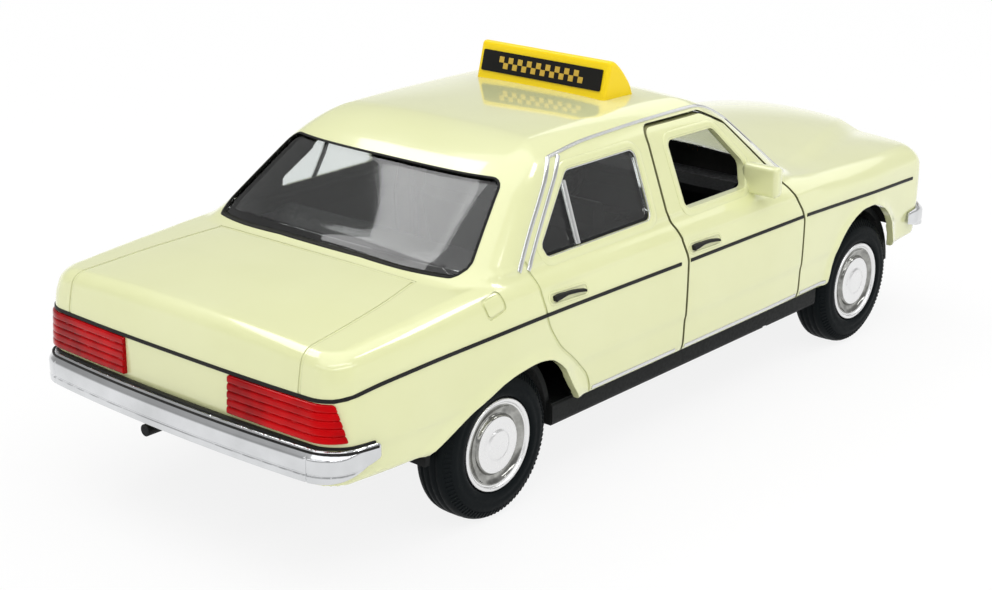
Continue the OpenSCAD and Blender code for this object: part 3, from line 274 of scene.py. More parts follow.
def floor_paper():
    """Pale paper that shows white to the camera and in mirrors, with shadow near the car."""
    material = bpy.data.materials.new("pale floor")
    node = fresh_nodes(material)
    grain = node("TexNoise", {"Scale": 40, "Detail": 2})
    tint = node("MapRange", {"Value": grain["Fac"], "To Min": 0.84, "To Max": 0.88})
    paper = node("BsdfDiffuse", {"Color": tint["Result"]})
    white = node("Emission", {"Color": (1, 1, 1, 1), "Strength": 1.0})
    path = node("LightPath")
    sharp = node("Math", {0: path["Is Glossy Ray"], 1: path["Is Transmission Ray"]}, operation="MAXIMUM")
    seen = node("Math", {0: path["Is Camera Ray"], 1: sharp[0]}, operation="MAXIMUM")
    away = node("VectorMath", {0: node("TexCoord")["Object"]}, operation="LENGTH")
    share = node("MapRange", {"Value": away["Value"], "From Min": 0.12, "From Max": 0.6,
                              "To Min": 0.86, "To Max": 1.0})
    some = node("Math", {0: seen[0], 1: share["Result"]}, operation="MULTIPLY")
    blend = node("MixShader", {"Fac": some[0], 1: paper["BSDF"], 2: white["Emission"]})
    node("OutputMaterial", {"Surface": blend["Shader"]})
    return material


def make_world():
    """Room that is white at the horizon, darker higher up and paler overhead."""
    world = bpy.data.worlds.new("soft studio")
    bpy.context.scene.world = world
    node = fresh_nodes(world)
    split = node("SeparateXYZ", {"Vector": node("TexCoord")["Generated"]})
    walls = world.node_tree.nodes.new("ShaderNodeValToRGB")
    world.node_tree.links.new(split["Z"], walls.inputs["Fac"])
    stops = walls.color_ramp.elements
    stops[0].position, stops[0].color = 0.0, (1, 1, 1, 1)
    stops[1].position, stops[1].color = 1.0, (0.78, 0.78, 0.79, 1)
    for height, grey in WALL_GREYS:
        stop = stops.new(height)
        stop.color = (grey, grey, grey, 1)
    room = node("Background", {"Color": walls.outputs["Color"], "Strength": 1.0})
    node("OutputWorld", {"Surface": room["Background"]})


def make_stage():
    floor = bpy.data.meshes.new("floor")
    corners = [(FLOOR_REACH * x, FLOOR_REACH * y, 0) for x, y in ((-1, -1), (1, -1), (1, 1), (-1, 1))]
    floor.from_pydata(corners, [], [(0, 1, 2, 3)])
    floor_piece = show("floor", floor)
    floor.materials.append(floor_paper())
    make_world()
    for name, spot, size, power in LAMPS:
        lamp = bpy.data.lights.new(name, "AREA")
        lamp.shape, lamp.energy = "RECTANGLE", power
        lamp.size, lamp.size_y = size
        light = show(name, lamp)
        light.location = spot
        light.rotation_euler = (LAMP_AIM - Vector(spot)).to_track_quat("-Z", "Y").to_euler()
    bpy.context.scene.view_settings.view_transform = "Standard"


# Fields: signed distances, negative inside
def curve(t, table):
    """Smooth curve through given points, without overshoot between them."""
    p = np.asarray(table, float)
    x, y = p[:, 0], p[:, 1]
    run = np.diff(x)
    rise = np.diff(y) / run
    slope = np.zeros(len(x))
    same = rise[1:] * rise[:-1] > 0
    a, b = 2 * run[1:] + run[:-1], run[1:] + 2 * run[:-1]
    flat = np.where(same, 1.0, 0.0)
    slope[1:-1] = flat * (a + b) / (a / np.where(same, rise[:-1], 1) + b / np.where(same, rise[1:], 1))
    slope[0], slope[-1] = rise[0], rise[-1]
    t = np.clip(t, x[0], x[-1])
    i = np.clip(np.searchsorted(x, t, side="right") - 1, 0, len(x) - 2)
    u = (t - x[i]) / run[i]
    return ((1 + 2 * u) * (1 - u) ** 2 * y[i] + u * (1 - u) ** 2 * run[i] * slope[i]
            + u * u * (3 - 2 * u) * y[i + 1] + u * u * (u - 1) * run[i] * slope[i + 1])


def meet(a, b, r):
    """What lies inside both, with the edge rounded to a radius."""
    return np.minimum(np.maximum(a, b), -r) + np.hypot(np.maximum(a + r, 0), np.maximum(b + r, 0))


def join(a, b, r):
    """What lies inside either, with a fillet in the corner."""
    return -meet(-a, -b, r)


def far_from(line, y, z):
    """Distance in the side view from a polyline."""
    best = None
    for (ay, az), (by, bz) in zip(line, line[1:]):
        dy, dz = by - ay, bz - az
        u = np.clip(((y - ay) * dy + (z - az) * dz) / (dy * dy + dz * dz), 0, 1)
        d = np.hypot(y - ay - u * dy, z - az - u * dz)
        best = d if best is None else np.minimum(best, d)
    return best


# Shares along the body's length, nose to tail
PLAN = [(0, 0.925), (0.065, 0.948), (0.15, 0.978), (0.24, 0.991), (0.41, 1), (0.76, 1), (0.895, 0.986),
        (0.956, 0.968), (1, 0.95)]
DECK = [(0, 0.80), (0.05, 0.838), (0.15, 0.872), (0.24, 0.905), (0.31, 0.95), (0.41, 0.975), (0.76, 0.98),
        (0.895, 0.925), (0.956, 0.892), (1, 0.87)]
CROWN = [(0, 0.115), (0.03, 0.141), (0.1, 0.151), (0.2, 0.128), (0.31, 0.085), (0.76, 0.05), (0.97, 0.04),
         (1, 0.03)]
BONNET_RISE = [(0, 0.66), (0.03, 0.62), (0.07, 0.46), (0.12, 0.32), (0.2, 0.2), (0.28, 0.1), (0.31, 0),
               (1, 0)]
LOWER_EDGE = [(0, 1), (0.1, 0.8), (0.16, 0), (0.78, 0), (0.86, 0.8), (1, 1)]
SHOULDER_ROUND = [(0, 2.4), (0.12, 1.7), (0.9, 1.4), (1, 1.2)]

# The bonnet's raised middle along Y: half its width, and the softness of its step
BONNET_EDGE = [(-57, 9.3), (-54, 10.0), (-46, 12.4), (-36, 15.2), (-26, 17.6)]
BONNET_SOFT = [(-57, 2.2), (-46, 1.7), (-30, 1.5)]

# How far the flank stands out at each height
SIDE = [(8, -0.95), (10, -0.68), (11.2, -0.40), (14.0, -0.24), (14.6, -0.11), (20.4, 0), (21.3, 0),
        (22.8, -0.35), (24.3, -0.9), (25.7, -1.5), (27.5, -2.2)]

# Wheel arches in the side view: the rear one is given from its axle, the front one is an arc above its axle
REAR_ARCH = [(-13.0, 0), (-12.1, 1.7), (-10.6, 3.7), (-9.2, 5.9), (-7.9, 7.1), (-6.3, 8.0), (-4.3, 8.25),
             (-1.9, 8.05), (0.6, 7.55), (3.0, 6.65), (5.3, 5.75), (7.6, 4.65), (9.9, 3.55), (11.5, 2.8),
             (12.4, 1.7), (12.6, 0)]
REAR_ARCH = [(REAR_AXLE + y, AXLE_Z + z) for y, z in REAR_ARCH]
FRONT_ARCH_R, FRONT_ARCH_RISE = 8.7, 1.6
FRONT_ARCH = [(FRONT_AXLE + FRONT_ARCH_R * math.cos(math.radians(a)),
               AXLE_Z + FRONT_ARCH_RISE + FRONT_ARCH_R * math.sin(math.radians(a)))
              for a in range(0, 181, 12)]
ARCH_LIP, ARCH_LIP_SPREAD = 0.3, 0.75
CREASE_OUT, CREASE_Z, CREASE_RISE, CREASE_SOFT = 0.09, 23.7, 0.01, 0.3
CREASE_MIDDLE, CREASE_HALF, CREASE_FADE = 2, 34, 8
END_BOW, END_BOW_AT = 0.45, 20
LEAN_FROM, NOSE_LEAN, TAIL_LEAN = 19.6, 0.05, 0.10
NOSE_CORNER, TAIL_CORNER = 3.4, 2.6


def girth(x, y, z):
    """The body's outline as seen from above: flanks, nose and tail panel."""
    wide = np.abs(x)
    half = HALF * curve((y - NOSE) / (TAIL - NOSE), PLAN)
    arch = np.minimum(far_from(REAR_ARCH, y, z), far_from(FRONT_ARCH, y, z))
    lip = np.exp(-(arch / ARCH_LIP_SPREAD) ** 2)
    crease = CREASE_OUT * np.exp(-((z - CREASE_Z - CREASE_RISE * y) / CREASE_SOFT) ** 2)
    crease = crease * np.clip((CREASE_HALF - np.abs(y - CREASE_MIDDLE)) / CREASE_FADE, 0, 1)
    side = wide - half - curve(z, SIDE) - ARCH_LIP * lip - crease
    bow = END_BOW * (wide / END_BOW_AT) ** 2.5
    lean = np.maximum(z - LEAN_FROM, 0)
    nose = NOSE + bow + NOSE_LEAN * lean ** 1.5 - y
    tail = (y - TAIL + bow + TAIL_LEAN * lean ** 1.4) / 1.04
    return meet(meet(side, nose, NOSE_CORNER), tail, TAIL_CORNER)


RAISED_CROWN, DECK_ARCH, DECK_ARCH_POWER = 0.35, 0.865, 2.2
LOWER_RISE, LOWER_ROUND = 1.2, 0.45


def lower_body(x, y, z, floor=True):
    """Bonnet, wings, flanks and boot."""
    t = (y - NOSE) / (TAIL - NOSE)
    wide = np.abs(x)
    half = HALF * curve(t, PLAN)
    deck = SILL + (BELT - SILL) * curve(t, DECK)
    crown = (BELT - SILL) * curve(t, CROWN)
    edge, soft, rise = curve(y, BONNET_EDGE), curve(y, BONNET_SOFT), curve(t, BONNET_RISE)
    step = np.clip((edge + soft - wide) / (2 * soft), 0, 1)
    raised = step * step * (3 - 2 * step) * (1 - RAISED_CROWN * np.minimum(wide / edge, 1.2) ** 2)
    arched = 1 - np.minimum(wide / (DECK_ARCH * half), 1.2) ** DECK_ARCH_POWER
    top = (z - deck - crown * ((1 - rise) * arched + rise * raised)) / 1.03
    body = meet(girth(x, y, z), top, curve(t, SHOULDER_ROUND))
    if floor:
        body = meet(body, SILL + LOWER_RISE * curve(t, LOWER_EDGE) - z, LOWER_ROUND)
    return body


CABIN_HALF, CABIN_LEAN, CABIN_FOOT = 20.4, 3.8, 21
WINDOW_BOW, WINDOW_BOW_AT = 1.6, 17
ROOF_DROP, ROOF_HALF, ROOF_MIDDLE, ROOF_RUN = 0.27, 11.3, 5.6, 13.7
PILLAR_ROUND, ROOF_ROUND = 2.4, 2.9
CABIN_FILLET, CORE_FOOT = 1.1, 6


def cabin(x, y, z):
    """Roof, pillars and the slopes of the front and rear windows."""
    s = (z - BELT) / (RAIL - BELT)
    wide = np.abs(x)
    side = (wide - CABIN_HALF + CABIN_LEAN * np.maximum(s, 0) + 0.5 * np.maximum(BELT - z, 0)) / 1.095
    bow = WINDOW_BOW * (np.minimum(wide, 21) / WINDOW_BOW_AT) ** 4
    front = (COWL + SCREEN_RUN * s + bow - y) / 1.58
    rear = (y - BOOT + BACKLIGHT_RUN * s + bow) / 1.617
    roof = z - ROOF + ROOF_DROP * (wide / ROOF_HALF) ** 3
    roof = roof + ROOF_DROP * (np.abs(y - ROOF_MIDDLE) / ROOF_RUN) ** 3
    plan = meet(meet(side, front, PILLAR_ROUND), rear, PILLAR_ROUND)
    return np.maximum(meet(plan, roof, ROOF_ROUND), CABIN_FOOT - z)


def body_field(x, y, z):
    return join(lower_body(x, y, z), cabin(x, y, z), CABIN_FILLET)


def body_core(x, y, z):
    """The same form carried on below the sills, for the hollow inside."""
    return np.maximum(join(lower_body(x, y, z, floor=False), cabin(x, y, z), CABIN_FILLET), CORE_FOOT - z)


def slopes(field, p, d=0.02):
    """Gradient of a field at points, which points outwards."""
    return np.stack([field(*(p + d * e).T) - field(*(p - d * e).T) for e in np.eye(3)], 1) / (2 * d)


def onto(field, p, level=0.0, rounds=3):
    """Points moved along the field's slope onto one of its levels."""
    for _ in range(rounds):
        g = slopes(field, p)
        f = field(*p.T) - level
        p = p - g * np.clip(f / np.maximum((g * g).sum(1), 0.2), -0.4, 0.4)[:, None]
    return p


def skin(field, low, high, step, level=0.0):
    """Closed surface of a field's level: points and four-sided faces."""
    axes = [np.arange(a, b + step, step) + step * 0.137 for a, b in zip(low, high)]
    f = field(axes[0][:, None, None], axes[1][None, :, None], axes[2][None, None, :]) - level
    f = np.broadcast_to(f, [len(a) for a in axes])
    inside = f < 0
    n = np.array(f.shape) - 1
    count = sum(inside[i:n[0] + i, j:n[1] + j, k:n[2] + k].astype(np.int8)
                for i in (0, 1) for j in (0, 1) for k in (0, 1))
    active = (count > 0) & (count < 8)
    cell = np.argwhere(active)
    number = np.full(active.shape, -1)
    number[active] = np.arange(len(cell))
    total, hits = np.zeros((len(cell), 3)), np.zeros(len(cell))
    faces = []
    one = np.eye(3, dtype=int)
    for axis in range(3):
        u, v = (axis + 1) % 3, (axis + 2) % 3
        for i, j in ((0, 0), (0, 1), (1, 0), (1, 1)):
            start = cell + i * one[u] + j * one[v]
            a, b = f[tuple(start.T)], f[tuple((start + one[axis]).T)]
            cross = (a < 0) != (b < 0)
            share = np.where(cross, a / np.where(cross, a - b, 1), 0)
            total[cross] += (start + share[:, None] * one[axis])[cross]
            hits[cross] += 1
        a, b = np.delete(inside, -1, axis), np.delete(inside, 0, axis)
        for flip, hit in ((False, a & ~b), (True, ~a & b)):
            at = np.argwhere(hit)
            at = at[(at[:, u] > 0) & (at[:, v] > 0) & (at[:, u] < n[u]) & (at[:, v] < n[v])]
            quad = np.stack([number[tuple((at + du * one[u] + dv * one[v]).T)]
                             for du, dv in ((-1, -1), (0, -1), (0, 0), (-1, 0))], 1)
            faces.append(quad[:, ::-1] if flip else quad)
    points = np.array([a[0] for a in axes]) + step * total / hits[:, None]
    return onto(field, points, level), np.concatenate(faces)


def unit(v):
    """Rows scaled to a length of one."""
    return v / np.linalg.norm(v, axis=1)[:, None]


# Meshes
def new_piece(name, points, faces, finish_name=None):
    mesh = bpy.data.meshes.new(name)
    mesh.from_pydata((np.asarray(points, float) * MM).tolist(), [],
                     faces.tolist() if isinstance(faces, np.ndarray) else faces)
    mesh.validate()
    if finish_name:
        mesh.materials.append(FINISH[finish_name])
    return show(name, mesh)


def tidy_faces(piece, merge=0.0):
    """Faces turned outwards, after points that lie together are merged if asked."""
    b = bmesh.new()
    b.from_mesh(piece.data)
    if merge:
        bmesh.ops.remove_doubles(b, verts=b.verts, dist=merge)
    bmesh.ops.recalc_face_normals(b, faces=b.faces)
    b.to_mesh(piece.data)
    b.free()
    return piece


def bake(piece):
    """The piece's modifiers made into its mesh."""
    made = bpy.data.meshes.new_from_object(piece.evaluated_get(bpy.context.evaluated_depsgraph_get()))
    piece.modifiers.clear()
    old, piece.data = piece.data, made
    bpy.data.meshes.remove(old)
    return piece


def carve(piece, cutter, how="DIFFERENCE", keep=False):
    """One solid cut by another, which gives the cut faces its own finish if it has one."""
    step = piece.modifiers.new("carve", "BOOLEAN")
    step.operation, step.solver, step.object = how, "MANIFOLD", cutter
    if cutter.data.materials:
        step.material_mode = "TRANSFER"
    bake(piece)
    if not keep:
        bpy.data.objects.remove(cutter)
    return piece


def rounded(points, r, steps=5):
    """Outline with its corners rounded; r is one radius or one for each corner."""
    points = [np.array(p, float) for p in points]
    n = len(points)
    radii = r if isinstance(r, (list, tuple)) else [r] * n
    line = []
    for i in range(n):
        a, b, c = points[i - 1], points[i], points[(i + 1) % n]
        u, v = (a - b) / np.linalg.norm(a - b), (c - b) / np.linalg.norm(c - b)
        half = math.acos(np.clip(u @ v, -1, 1)) / 2
        if radii[i] <= 0 or half > 1.55:
            line.append(b)
            continue
        reach = min(radii[i] / math.tan(half), 0.45 * min(np.linalg.norm(a - b), np.linalg.norm(c - b)))
        middle = b + (u + v) / np.linalg.norm(u + v) * reach / math.cos(half)
        p, q = b + u * reach, b + v * reach
        for k in range(steps + 1):
            w = p + (q - p) * k / steps - middle
            line.append(middle + w / np.linalg.norm(w) * np.linalg.norm(p - middle))
    return line


def grown(points, gap):
    """Closed outline moved outwards by a gap, inwards where it is negative."""
    p = np.array(points, float)
    area = (p[:, 0] * np.roll(p[:, 1], -1) - p[:, 1] * np.roll(p[:, 0], -1)).sum()
    a, b = unit(p - np.roll(p, 1, 0)), unit(np.roll(p, -1, 0) - p)
    u, v = np.stack([a[:, 1], -a[:, 0]], 1), np.stack([b[:, 1], -b[:, 0]], 1)
    sign = 1 if area > 0 else -1
    return p + (u + v) * (sign * gap / np.maximum(1 + (u * v).sum(1), 0.3))[:, None]


def box_outline(x0, x1, y0, y1):
    """Corners of a rectangle."""
    return [(x0, y0), (x1, y0), (x1, y1), (x0, y1)]


def prism(outline, axis, low, high, name="cutter", finish_name=None):
    """Solid with a flat outline, drawn out along X, Y or Z."""
    o = np.asarray(outline, float)
    n = len(o)
    rest = [k for k in range(3) if k != axis]
    points = np.zeros((2 * n, 3))
    points[:n, rest], points[n:, rest] = o, o
    points[:n, axis], points[n:, axis] = low, high
    faces = [list(range(n)), list(range(n, 2 * n))]
    faces += [[i, (i + 1) % n, n + (i + 1) % n, n + i] for i in range(n)]
    return tidy_faces(new_piece(name, points, faces, finish_name))


def ribbon(line, width):
    """Outline of a line given some width."""
    p = np.array(line, float)
    d = unit(np.gradient(p, axis=0))
    side = np.stack([-d[:, 1], d[:, 0]], 1) * width / 2
    return np.concatenate([p + side, (p - side)[::-1]])


def smooth_line(points, per=6):
    """Points spread along a smooth curve through given points."""
    p = np.array(points, float)
    s = np.concatenate([[0], np.cumsum(np.linalg.norm(np.diff(p, axis=0), axis=1))])
    t = np.linspace(0, s[-1], per * (len(p) - 1) + 1)
    return np.stack([curve(t, np.stack([s, p[:, k]], 1)) for k in range(p.shape[1])], 1)


def true_normals(piece, field, near=0.03):
    """Shading that follows the form's own slope on its skin, flat on cut edges."""
    mesh = piece.data
    co = np.empty(len(mesh.vertices) * 3)
    mesh.vertices.foreach_get("co", co)
    p = co.reshape(-1, 3) / MM
    g = slopes(field, p)
    g /= np.maximum(np.linalg.norm(g, axis=1), 1e-6)[:, None]
    on = np.abs(field(*p.T)) < near
    corner = np.empty(len(mesh.loops), int)
    mesh.loops.foreach_get("vertex_index", corner)
    faces = len(mesh.polygons)
    normal, size = np.empty(faces * 3), np.empty(faces, int)
    mesh.polygons.foreach_get("normal", normal)
    mesh.polygons.foreach_get("loop_total", size)
    flat = np.repeat(normal.reshape(-1, 3), size, 0)
    fits = on[corner] & ((g[corner] * flat).sum(1) > 0.55)
    whole = np.repeat(np.logical_and.reduceat(fits, np.concatenate([[0], np.cumsum(size)[:-1]])), size)
    mesh.shade_smooth()
    mesh.normals_split_custom_set(np.where(whole[:, None], g[corner], flat).tolist())


def smooth(piece, angle=35):
    piece.data.shade_smooth()
    piece.data.set_sharp_from_angle(angle=math.radians(angle))
    return piece


def place(piece, body, slot, *nodes):
    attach(piece, body)
    if nodes:
        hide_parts(*nodes)
    return piece


def cast(name, field, box, step, finish_name, body, slot, *nodes):
    """Moulded piece from a field inside a box of ranges, shaded by its own slope."""
    low, high = zip(*box)
    piece = new_piece(name, *skin(field, low, high, step), finish_name)
    true_normals(piece, field, near=0.2)
    return place(piece, body, slot, *nodes)


# Geometry node trees
def node_tree(name, inputs):
    """Geometry tree with named inputs: the tree, its maker and its inputs."""
    tree = bpy.data.node_groups.new(name, "GeometryNodeTree")
    tree.interface.new_socket("Geometry", in_out="INPUT", socket_type="NodeSocketGeometry")
    for label, kind in (*inputs, ("Material", "Material")):
        tree.interface.new_socket(label, in_out="INPUT", socket_type="NodeSocket" + kind)
    tree.interface.new_socket("Geometry", in_out="OUTPUT", socket_type="NodeSocketGeometry")
    node = maker(tree, "GeometryNode")
    return tree, node, node("NodeGroupInput")


def close_tree(tree, node, have, last):
    """Instances made real, then the material, then the end of the tree."""
    real = node("RealizeInstances", {"Geometry": last})
    paint = node("SetMaterial", {"Geometry": real["Geometry"], "Material": have["Material"]})
    node("NodeGroupOutput", {"Geometry": paint["Geometry"]})
    return tree


def trim_tree():
    """A rounded strip laid along a line, its back to the surface it follows."""
    tree, node, have = node_tree(
        "trim along a line", [("Width", "Float"), ("Height", "Float"), ("Corner", "Float")])
    facing = node("InputNamedAttribute", {"Name": "outward"}, data_type="FLOAT_VECTOR")
    line = node("MeshToCurve", {"Mesh": have["Geometry"]})
    turn = node("SetCurveNormal", {"Curve": line["Curve"], "Normal": facing["Attribute"]}, mode="FREE")
    section = node("CurvePrimitiveQuadrilateral", {"Width": have["Height"], "Height": have["Width"]})
    soft = node("FilletCurve", {"Curve": section["Curve"], 1: 2, "Radius": have["Corner"]}, mode="POLY")
    sweep = node("CurveToMesh", {"Curve": turn["Curve"], "Profile Curve": soft["Curve"], "Fill Caps": True})
    return close_tree(tree, node, have, sweep["Mesh"])


def ring_tree():
    """Copies of one bar set round the X axis."""
    tree, node, have = node_tree("bars round a wheel", [
        ("Count", "Int"), ("Radius", "Float"), ("Length", "Float"), ("Breadth", "Float"), ("Depth", "Float"),
        ("Lean", "Float")])
    circle = node("MeshCircle", {"Vertices": have["Count"], "Radius": have["Radius"]})
    size = node("ShaderNodeCombineXYZ", {"X": have["Length"], "Y": have["Breadth"], "Z": have["Depth"]})
    bar = node("MeshCube", {"Size": size["Vector"]})
    lean = node("ShaderNodeCombineXYZ", {"Y": have["Lean"]})
    tilt = node("Transform", {"Geometry": bar["Mesh"], "Rotation": lean["Vector"]})
    spot = node("InputPosition")["Position"]
    facing = node("FunctionNodeAlignRotationToVector", {"Vector": spot}, axis="X")
    copies = node("InstanceOnPoints", {"Points": circle["Mesh"], "Instance": tilt["Geometry"],
                                       "Rotation": facing["Rotation"]})
    stand = node("Transform", {"Geometry": copies["Instances"], "Rotation": (0, math.pi / 2, 0)})
    return close_tree(tree, node, have, stand["Geometry"])


def row_tree():
    """Copies of one block in rows and columns, every second one left out if asked."""
    tree, node, have = node_tree("blocks in rows", [
        ("Columns", "Int"), ("Rows", "Int"), ("Span X", "Float"), ("Span Y", "Float"), ("Block X", "Float"),
        ("Block Y", "Float"), ("Block Z", "Float"), ("Every", "Int")])
    grid = node("MeshGrid", {"Vertices X": have["Columns"], "Vertices Y": have["Rows"],
                             "Size X": have["Span X"], "Size Y": have["Span Y"]})
    size = node("ShaderNodeCombineXYZ", {axis: have["Block " + axis] for axis in "XYZ"})
    block = node("MeshCube", {"Size": size["Vector"]})
    count = node("InputIndex")["Index"]
    row = node("ShaderNodeMath", {0: count, 1: have["Rows"]}, operation="DIVIDE")
    whole = node("ShaderNodeMath", {0: row[0]}, operation="FLOOR")
    both = node("ShaderNodeMath", {0: whole[0], 1: count}, operation="ADD")
    every = node("ShaderNodeMath", {0: both[0], 1: have["Every"]}, operation="MODULO")
    pick = node("FunctionNodeCompare", {0: every[0], 1: 0.5}, data_type="FLOAT", operation="LESS_THAN")
    copies = node("InstanceOnPoints", {"Points": grid["Mesh"], "Selection": pick["Result"],
                                       "Instance": block["Mesh"]})
    return close_tree(tree, node, have, copies["Instances"])


TRIM, RING, ROW = trim_tree(), ring_tree(), row_tree()


def grow(piece, tree, finish_name, lengths, **others):
    """Run a tree on a piece and keep the result as its mesh; lengths are in millimetres."""
    step = piece.modifiers.new(tree.name, "NODES")
    step.node_group = tree
    wanted = {key: value * MM for key, value in lengths.items()}
    wanted.update(others, Material=FINISH[finish_name])
    for item in tree.interface.items_tree:
        key = item.name.replace(" ", "_")
        if item.item_type == "SOCKET" and item.in_out == "INPUT" and key in wanted:
            step[item.identifier] = wanted[key]
    return bake(piece)


def pattern(name, tree, finish_name, stand, lengths, **others):
    """Piece grown by a tree at the origin, then moved to its place."""
    piece = grow(new_piece(name, [(0, 0, 0)], []), tree, finish_name, lengths, **others)
    piece.data.transform(stand)
    return piece


def moved(x, y, z):
    return Matrix.Translation(Vector((x, y, z)) * MM)


UPRIGHT = Matrix.Rotation(math.pi / 2, 4, "X")
TRIM_SLOT = {"black strip": "base", "seam": "base", "silver": "chrome", "chrome": "chrome", "ivory": "paint"}
TRIM_CORNER = 0.08


def trim(name, line, width, height, finish_name, body="car", field=body_field, lift=0.0, closed=False, per=8):
    """Strip along a given line on the body: width on the surface, height off it."""
    p = smooth_line(line, per) if per > 1 else np.array(line, float)
    p = onto(field, p, rounds=6)
    out = unit(slopes(field, p))
    p = p + out * lift
    n = len(p)
    mesh = bpy.data.meshes.new(name)
    edges = [(i, i + 1) for i in range(n - 1)] + ([(n - 1, 0)] if closed else [])
    mesh.from_pydata((p * MM).tolist(), edges, [])
    facing = mesh.attributes.new("outward", "FLOAT_VECTOR", "POINT")
    facing.data.foreach_set("vector", out.astype(np.float32).ravel())
    corner = min(TRIM_CORNER, 0.4 * min(width, height))
    piece = grow(show(name, mesh), TRIM, finish_name, dict(Width=width, Height=height, Corner=corner))
    smooth(piece, 50)
    return place(piece, body, TRIM_SLOT[finish_name])


def both(line):
    """A line given on the left side, and its mirror image."""
    left = np.array(line, float)
    return (("left", left), ("right", left * (-1, 1, 1)))


# Body shell, doors and glass
DOOR = [(-23.1, 8.0), (1.7, 8.0), (1.7, 20.9), (3.0, 26.3), (2.25, 35.5), (-9.2, 35.3), (-12.95, 33.5),
        (-20.85, 25.1), (-23.1, 20.4)]
DOOR_ROUND = [0, 0, 0.8, 2.5, 1.6, 2.0, 1.4, 2.2, 1.6]
DOOR_OUTLINE = rounded(DOOR, DOOR_ROUND)
DOOR_WINDOW = [(-12.6, 26.1), (-0.75, 26.1), (-1.1, 33.4), (-9.9, 33.3), (-13.8, 28.7)]
SIDE_WINDOW = [(5.6, 26.3), (25.7, 26.25), (17.0, 33.7), (4.9, 33.7)]
BACKLIGHT = [(18.3, 26.2), (15.2, 34.0), (-15.2, 34.0), (-18.3, 26.2), (-12, 26.32), (-6, 26.48), (6, 26.48),
             (12, 26.32)]
SCREEN = [(17.9, 26.3), (15.1, 34.1), (-15.1, 34.1), (-17.9, 26.3), (-12, 26.62), (-6, 26.87), (6, 26.87),
          (12, 26.62)]
PANE_ROUND = [1.0, 1.5, 1.5, 1.0, 3, 3, 3, 3]
OPENINGS = {"side": rounded(SIDE_WINDOW, [0.9, 0.9, 1.6, 0.9]), "rear": rounded(BACKLIGHT, PANE_ROUND),
            "screen": rounded(SCREEN, PANE_ROUND), "door": rounded(DOOR_WINDOW, [0.9, 0.8, 0.8, 1.2, 1.0])}
REAR_DOOR_LINE = [(27.3, 26.6), (27.0, 24.5), (26.5, 21.0), (24.6, 17.6), (21.4, 14.6), (19.2, 12.2),
                  (18.3, 9.5)]
FLAP = [(35.6, 24.7), (32.6, 25.1), (32.3, 23.2), (35.2, 22.7)]
LID_LINE = [(14.4, 37.9), (15.2, 41.5), (16.0, 46), (16.7, 52.0), (17.3, 58)]
LID_FRONT = [(-14.6, 37.7), (-8, 38.15), (0, 38.3), (8, 38.15), (14.6, 37.7)]
DOOR_GAP, PANE_GAP, GROOVE, FLAP_GROOVE, LID_SEAM = 0.36, 0.04, 0.3, 0.24, 0.34
GROOVE_DEPTH, LID_DEPTH, PANE_DEPTH, PANE_BACK = 0.15, 0.08, 0.28, 1.0
BODY_LOW, BODY_HIGH = (-24.5, -58.5, 5.0), (24.5, 58.5, 39.0)
FINE_STEP, MIDDLE_STEP, COARSE_STEP = 0.46, 0.5, 0.8
OUTSIDE, TAIL_END, NOSE_END, ABOVE = 26, 46, -42, 30


def body_level(name, field, step, depth=0.0, finish_name=None):
    """A form of the body at some depth under its skin."""
    return new_piece(name, *skin(field, BODY_LOW, BODY_HIGH, step, level=-depth), finish_name)


def make_glass():
    """Panes that fill the window openings, a little under the body's skin."""
    panes = None
    for key, axis, near, far in (("side", X, 11, OUTSIDE), ("side", X, -OUTSIDE, -11),
                                 ("rear", Y, 12, TAIL_END), ("screen", Y, NOSE_END, -4)):
        pane = prism(grown(OPENINGS[key], -PANE_GAP), axis, near, far)
        panes = carve(panes, pane, "UNION") if panes else pane
    made = body_level("glazing_panes", body_core, MIDDLE_STEP, PANE_DEPTH, "glass")
    carve(made, body_level("inner_glass", body_core, COARSE_STEP, PANE_BACK))
    return carve(made, panes, "INTERSECT")


def make_door(side, sign, whole, core):
    made = show(f"front_door_{side}_skin", whole.data.copy())
    edge = grown(DOOR_OUTLINE, -DOOR_GAP)
    # The cut faces round the door's edge take the darkened enamel: painted shade in the gap
    carve(made, prism(edge, X, *span(sign, 12, OUTSIDE), finish_name="jamb"), "INTERSECT")
    # The door's inner faces take the core's painted shade
    carve(made, core, keep=True)
    return carve(made, prism(OPENINGS["door"], X, *span(sign, 9, OUTSIDE)))


def score(piece, line, guide):
    """Shallow cut along a line, down to a guide form just under the skin."""
    carve(line, guide, keep=True)
    carve(piece, line)


